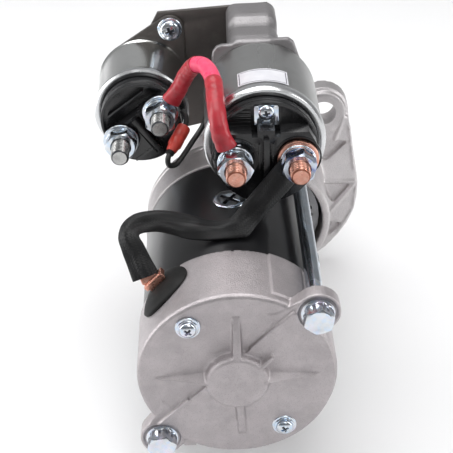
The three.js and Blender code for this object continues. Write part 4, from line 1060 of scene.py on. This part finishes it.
# ---------------------------------------------------------------- leads
JUMPER = [(-27.0, 125.6, 85.3), (-24.2, 125.4, 90.2), (-19.5, 124, 99.5), (-15.2, 119, 106.5), (-11.5, 112, 110), (-8.6, 104, 111.3), (-6.4, 94, 111), (-5.6, 84, 109.3), (-5.3, 75, 106.5), (-4.6, 68.5, 102), (-3.5, 65.4, 96), (-2.2, 64.9, 91.3)]
C, U, PAR = crspline(JUMPER, 150)
C = C[:, :3]
L = U[-1]
k0, k1 = 0.30, 0.60      # cable shows bare between these parts of its length
s = U / L
i0, i1 = int(k0 * 150), int(k1 * 150)
o = sweep("jumper_cable", C[i0 - 4:i1 + 5], 4.15, 32)
put(o, "cable", nodes=("jumper_lead",))


def shrink(name, seg, flare0, flare1):
    """heat-shrink tube along seg; it flares and flattens where it runs onto a lug's barrel."""
    seg = np.asarray(seg, float)
    seg, _u, _p = crspline(seg, 90)
    seg = seg[:, :3]
    Tn_, Nn_ = frames(seg, (0, -1, 0.3))
    Bn_ = np.cross(Tn_, Nn_)
    q = _u / _u[-1]
    r = 4.42 + 0.13 * np.sin(q * 37) * np.sin(q * 11 + 1)
    fl = np.zeros(90)
    if flare0:
        fl = np.maximum(fl, np.clip(1 - _u / 9.0, 0, 1))
    if flare1:
        fl = np.maximum(fl, np.clip(1 - (_u[-1] - _u) / 9.0, 0, 1))
    fl = fl ** 0.7
    t = np.arange(40) * TAU / 40
    rows = []
    for i in range(90):
        w = np.outer(np.cos(t), Nn_[i]) + np.outer(np.sin(t), Bn_[i])
        w *= r[i] * (1 + 0.016 * np.sin(3 * t + i * 0.21) * np.sin(i * 0.37))[:, None]
        w[:, 1] *= 1 - 0.34 * fl[i]
        w[:, (0, 2)] *= 1 + 0.14 * fl[i]
        rows.append(seg[i] + w)
    hollow = [seg[0] + (rows[0] - seg[0]) * 0.86] + rows + [seg[-1] + (rows[-1] - seg[-1]) * 0.86]
    o = make(name, *grid(hollow), 60)
    return put(o, "heatshrink")


_st = np.array([RSTUD[0][0], 127.3, RSTUD[0][1]])
_so = np.array([SX - STUD_DX, 67.4, STUD_Z])
_a0 = _st + (C[0] - _st) / np.linalg.norm(C[0] - _st) * 10.4
_a1 = _so + (C[-1] - _so) / np.linalg.norm(C[-1] - _so) * 10.2
shrink("jumper_sleeve_relay", np.vstack([_a0, C[6:i0:6], C[i0]]), True, False)
shrink("jumper_sleeve_solenoid", np.vstack([C[i1], C[i1 + 5:144:6], _a1]), False, True)


def ringlug(name, x, z, y0, y1, ro, d, end, mat, slot_, bw=3.4, br=3.4, bar=1.0):
    """ring terminal: flat eye on the stud, neck, and a crimped barrel that reaches to end."""
    o = make(name, *washer(ro, 5.15, y0, y1, x, z, 72, 0.2))
    u = np.array([math.cos(d), 0, math.sin(d)])
    v = np.array([-math.sin(d), 0, math.cos(d)])
    c = np.array([x, (y0 + y1) / 2, z])
    Vn, Fn = oriented(c + u * (ro + 0.6), u, Y_, v, 3.0, (y1 - y0) / 2 * 0.98, bw)
    boolean(o, (Vn, Fn), "UNION")
    e = np.asarray(end, float)
    s0 = c + u * (ro + 1.0)
    seg = np.array([s0 + (e - s0) * t for t in np.linspace(0, 1, 8)])
    b = sweep(name + "_b", seg, np.linspace(br * 0.9, br, 8), 28, uv=False)
    me = b.data
    co = np.empty(len(me.vertices) * 3); me.vertices.foreach_get("co", co)
    boolean(o, b, "UNION")
    bevel(o, 0.2, 2)
    return put(o, mat)


ringlug("jumper_lug_relay", *RSTUD[0], 126.5, 128.7, 8.6, 0.95, C[5], "zinc", "zinc_plate")
ringlug("jumper_lug_solenoid", SX - STUD_DX, STUD_Z, 66.7, 68.9, 8.4, 1.98, C[-6], "zinc", "zinc_plate")

# flat braided sleeve, given by its two edges (x, y, z each)
BR = np.array([
    (-48.4, 30.5, 35.8, -35.8, 30.5, 40.9),
    (-50.8, 34.5, 42.5, -39.4, 34.5, 47.0),
    (-53.4, 39.0, 48.9, -42.5, 38.5, 52.6),
    (-54.9, 43.7, 53.0, -44.4, 41.5, 54.5),
    (-53.2, 48.3, 57.2, -44.0, 43.8, 54.5),
    (-48.0, 52.0, 60.3, -41.0, 46.0, 53.8),
    (-39.3, 54.5, 60.9, -35.2, 47.0, 53.1),
    (-29.7, 56.0, 59.2, -28.5, 47.0, 51.1),
    (-20.0, 56.5, 56.1, -21.3, 46.6, 48.6),
    (-12.3, 56.8, 52.8, -12.6, 46.5, 47.4),
    (-6.4, 56.8, 52.0, -3.8, 46.5, 47.6),
    (-2.4, 56.0, 53.5, 3.0, 46.8, 47.6),
    (-0.4, 55.6, 54.3, 7.5, 47.6, 47.8),
    (5.2, 57.6, 59.6, 12.7, 54.0, 50.3),
    (11.2, 59.8, 66.2, 19.2, 58.5, 55.6),
    (17.3, 62.0, 72.6, 25.3, 61.5, 60.7),
    (22.3, 64.0, 78.0, 30.6, 64.0, 65.9),
    (26.3, 65.6, 81.6, 34.2, 65.6, 70.5),
])
BRC = np.c_[(BR[:, :3] + BR[:, 3:]) / 2, (BR[:, 3:] - BR[:, :3]) / 2]
Q, UQ, _p = crspline(BRC, 240)
Cq, Hq = Q[:, :3], Q[:, 3:6]
Tn = np.gradient(Cq, axis=0)
for _ in range(4):
    Tn[1:-1] = (Tn[:-2] + Tn[1:-1] * 2 + Tn[2:]) / 4
Tn /= np.linalg.norm(Tn, axis=1)[:, None]
Nq = np.cross(Hq, Tn)
Nq /= np.linalg.norm(Nq, axis=1)[:, None]
nn = 64
rows = []
for i in range(len(Cq)):
    t = np.arange(nn) * TAU / nn
    c_, s_ = np.cos(t), np.sin(t)
    u_ = np.sign(c_) * np.abs(c_) ** 0.8
    v_ = np.sign(s_) * np.abs(s_) ** 0.75
    q = i / (len(Cq) - 1)
    th = 1.75 + 0.25 * math.sin(UQ[i] * 0.3)
    th *= 1 - 0.35 * max(0, 1 - (1 - q) / 0.06)
    crease = 0.6 * np.sin(UQ[i] * 0.33 + 0.8) * (1 - u_ ** 2) + 0.30 * np.sin(UQ[i] * 0.12 + u_ * 5.2)
    rows.append(Cq[i] + np.outer(u_, Hq[i]) + np.outer(v_ * th * (1 - 0.18 * u_ ** 4) + crease, Nq[i]))
o = make("motor_lead_sleeve", *grid(rows), 60)
add_uv(o, nn, len(rows), UQ)
put(o, "braid", nodes=("motor_lead",))
o = ringlug("motor_lead_lug", SX + STUD_DX, STUD_Z, 66.7, 68.9, 10.2, 3.93, Cq[-6], "copper", "copper", 4.6, 2.2)
# braid conductor end inside the sleeve at the tab
_h = Hq[2] / np.linalg.norm(Hq[2])
o = make("motor_lead_end", *oriented(Cq[2] - Tn[2] * 1.4 + _h * 1.2, _h, Tn[2], Nq[2], 4.2, 2.8, 1.0))
bevel(o, 0.6, 3)
put(o, "copper")

WIRE = [(-23.6, 130.6, 74.6), (-21.6, 128.6, 72.6), (-21.3, 126.2, 70.2), (-22.5, 124, 68), (-26.2, 117, 64.5), (-30, 110, 61), (-31.5, 107, 58.5), (-31, 106.5, 55.2), (-27.5, 109.5, 53.8), (-23.5, 115, 56), (-18.6, 121.5, 60.2), (-13.8, 128.5, 63.8), (-11.6, 134.5, 65), (-10.9, 139.0, 65)]
Wc, Wu, Wp = crspline(WIRE, 150)
o = sweep("switch_wire_cord", Wc[:, :3], 1.45, 20)
put(o, "wire", nodes=("switch_wire",))
a, b = np.array([-22.5, 124, 68.0]), np.array([-30, 110, 61.0])
d = (b - a) / np.linalg.norm(b - a)
seg = [(0.0, 2.6), (0.25, 3.5), (0.9, 3.75), (6.4, 3.75), (7.0, 3.5), (7.4, 3.5), (8.0, 3.75), (12.4, 3.75), (13.2, 3.3), (13.9, 3.1), (16.0, 2.8), (17.0, 2.4)]
path = np.array([a + d * s for s, _ in seg])
o = sweep("bullet_sleeve_body", path, [r for _, r in seg], 36, smooth=35)
put(o, "sleeve", nodes=("bullet_sleeve",))
seg = [(16.2, 2.2), (16.6, 2.3), (18.6, 2.2), (19.0, 1.6)]
path = np.array([a + d * s for s, _ in seg])
o = sweep("bullet_boot", path, [r for _, r in seg], 28, smooth=35)
put(o, "rubber")

# ---------------------------------------------------------------- pinion, drive and inner pieces
n = 11 * 16
t = np.arange(n) * TAU / n
ph = (t / (TAU / 11)) % 1.0
f = np.abs(ph - 0.5) * 2                       # 0 in the middle of a tooth, 1 in a gap
prof_ = np.clip((0.78 - f) / 0.42, 0, 1)
rad = 12.9 + 6.6 * prof_ ** 0.7
rows = []
for y, k in ((210.0, 0.90), (211.2, 1.0), (226.2, 1.0), (228.0, 0.91)):
    rr = np.minimum(rad, 19.5 * k)
    rows.append(np.c_[OX + rr * np.cos(t), np.full(n, y), OZ + rr * np.sin(t)])
o = make("pinion_gear", *grid(rows), 30)
boolean(o, cyl(12.0, 204.4, 211, OX, OZ, 64), "UNION")
boolean(o, cyl(9.5, 200, 214.6, OX, OZ, 64))
boolean(o, cyl(8.3, 210, 230, OX, OZ, 64))
bevel(o, 0.15, 2, 35)
put(o, "steel", "pinion_drive", nodes=("pinion",))
o = csg("output_shaft_turned", [lathe([(0, 163.6), (8, 163.6), (8, 214), (6.5, 214.6), (6.5, 246.5), (9.2, 246.5), (9.5, 246.9), (9.5, 249.6), (9.2, 250), (6.5, 250), (6.5, 259.8), (5.8, 260.5), (0, 260.5)], OX, OZ, 72)])
for k in range(10):
    V, F = box(7.6, 9.0, 177, 206, -1.35, 1.35, k * TAU / 10 + 1e-4, (OX, OZ))
    boolean(o, (V, F), "UNION")
bevel(o, 0.15, 1)
put(o, "steel", "output", nodes=("output_shaft",))
o = make("clutch_drum", *lathe([(9.4, 178), (16.6, 178), (17, 178.4), (17, 179.6), (16.6, 180), (13.3, 180), (13, 180.4), (13, 186.6), (13.4, 187), (20.4, 187), (21, 187.6), (21, 192), (20.6, 192.3), (20.6, 193.1), (21, 193.4), (21, 206.2), (19.5, 208), (12.4, 208), (12.4, 204), (9.4, 204)], OX, OZ, 96))
put(o, "steel", "clutch", nodes=("overrunning_clutch",))
inner_mat = {"rear_bearing": "brass", "armature_front_bearing": "brass", "output_rear_bearing": "brass", "field_winding": "winding", "armature_winding": "winding", "solenoid_coil": "winding", "commutator": "copper", "contact_disc": "copper", "armature_shaft": "steel", "armature_core": "dsteel", "brush_holder": "steel", "internal_ring_gear": "dsteel", "shift_lever": "dsteel", "lever_pin": "steel", "fixed_core": "dsteel", "plunger": "steel", "relay_armature": "dsteel"}
for k in range(4):
    inner_mat[f"brush_{k+1}"] = "carbon"
for n_, m_ in inner_mat.items():
    ob = nb[n_]
    ob.data.materials.clear()
    ob.data.materials.append(MT[m_])

# ---------------------------------------------------------------- floor, light
me = bpy.data.meshes.new("floor")
zf = CAD_LO.z - 0.0008
sz = 6.0
prof_f = [(-sz, 0.0), (1.2, 0.0)] + [(1.2 + 1.0 * math.sin(q), 1.0 - 1.0 * math.cos(q)) for q in np.linspace(0.1, math.pi / 2, 14)] + [(2.2, 4.0)]
V = [(x, y, zf + z) for y, z in prof_f for x in (-sz, sz)]
F = [(2 * i, 2 * i + 1, 2 * i + 3, 2 * i + 2) for i in range(len(prof_f) - 1)]
me.from_pydata(V, [], F)
floor = bpy.data.objects.new("floor", me)
scene.collection.objects.link(floor)
for p in me.polygons:
    p.use_smooth = True
m, nt, b = nodes_of("floor_paper")
co = nt.nodes.new("ShaderNodeTexCoord").outputs["Object"]
nt.links.new(mix(nt, rng_map(nt, noise(nt, co, 3, 3), 0, 1), (0.86, 0.86, 0.865), (0.89, 0.89, 0.895)), b.inputs["Base Color"])
nt.links.new(rng_map(nt, noise(nt, co, 8, 3), 0.75, 0.9), b.inputs["Roughness"])
me.materials.append(m)

world = bpy.data.worlds.new("studio")
scene.world = world
world.use_nodes = True
wn = world.node_tree
bg = wn.nodes["Background"]
tc = wn.nodes.new("ShaderNodeTexCoord")
sp = wn.nodes.new("ShaderNodeSeparateXYZ")
wn.links.new(tc.outputs["Generated"], sp.inputs[0])
ramp = wn.nodes.new("ShaderNodeValToRGB")
wn.links.new(sp.outputs["Z"], ramp.inputs[0])
ramp.color_ramp.elements[0].position, ramp.color_ramp.elements[0].color = 0.0, (0.55, 0.55, 0.56, 1)
ramp.color_ramp.elements[1].position, ramp.color_ramp.elements[1].color = 1.0, (1.0, 1.0, 1.0, 1)
el = ramp.color_ramp.elements.new(0.35); el.color = (0.35, 0.35, 0.36, 1)
el = ramp.color_ramp.elements.new(0.62); el.color = (0.80, 0.80, 0.80, 1)
wn.links.new(ramp.outputs[0], bg.inputs["Color"])
bg.inputs["Strength"].default_value = 0.52


def area(name, loc, target, size, power, size_y=None, color=(1, 1, 1)):
    d = bpy.data.lights.new(name, "AREA")
    d.shape = "RECTANGLE"
    d.size, d.size_y = size, size_y or size
    d.energy = power
    d.color = color
    o = bpy.data.objects.new(name, d)
    scene.collection.objects.link(o)
    o.location = loc
    o.rotation_mode = "QUATERNION"
    o.rotation_quaternion = (Vector(target) - Vector(loc)).to_track_quat("-Z", "Y")
    return o


mid = (-0.02, -0.09, 0.03)
area("key_top", (-0.10, 0.10, 0.95), mid, 0.8, 6.8, 0.9)
area("left_strip", (-0.85, -0.10, 0.22), mid, 0.45, 7.5, 1.3)
area("right_strip", (0.85, -0.25, 0.35), mid, 0.35, 4.6, 1.0)
area("front_fill", (0.25, -1.0, 0.9), mid, 0.5, 2.0, 0.5)
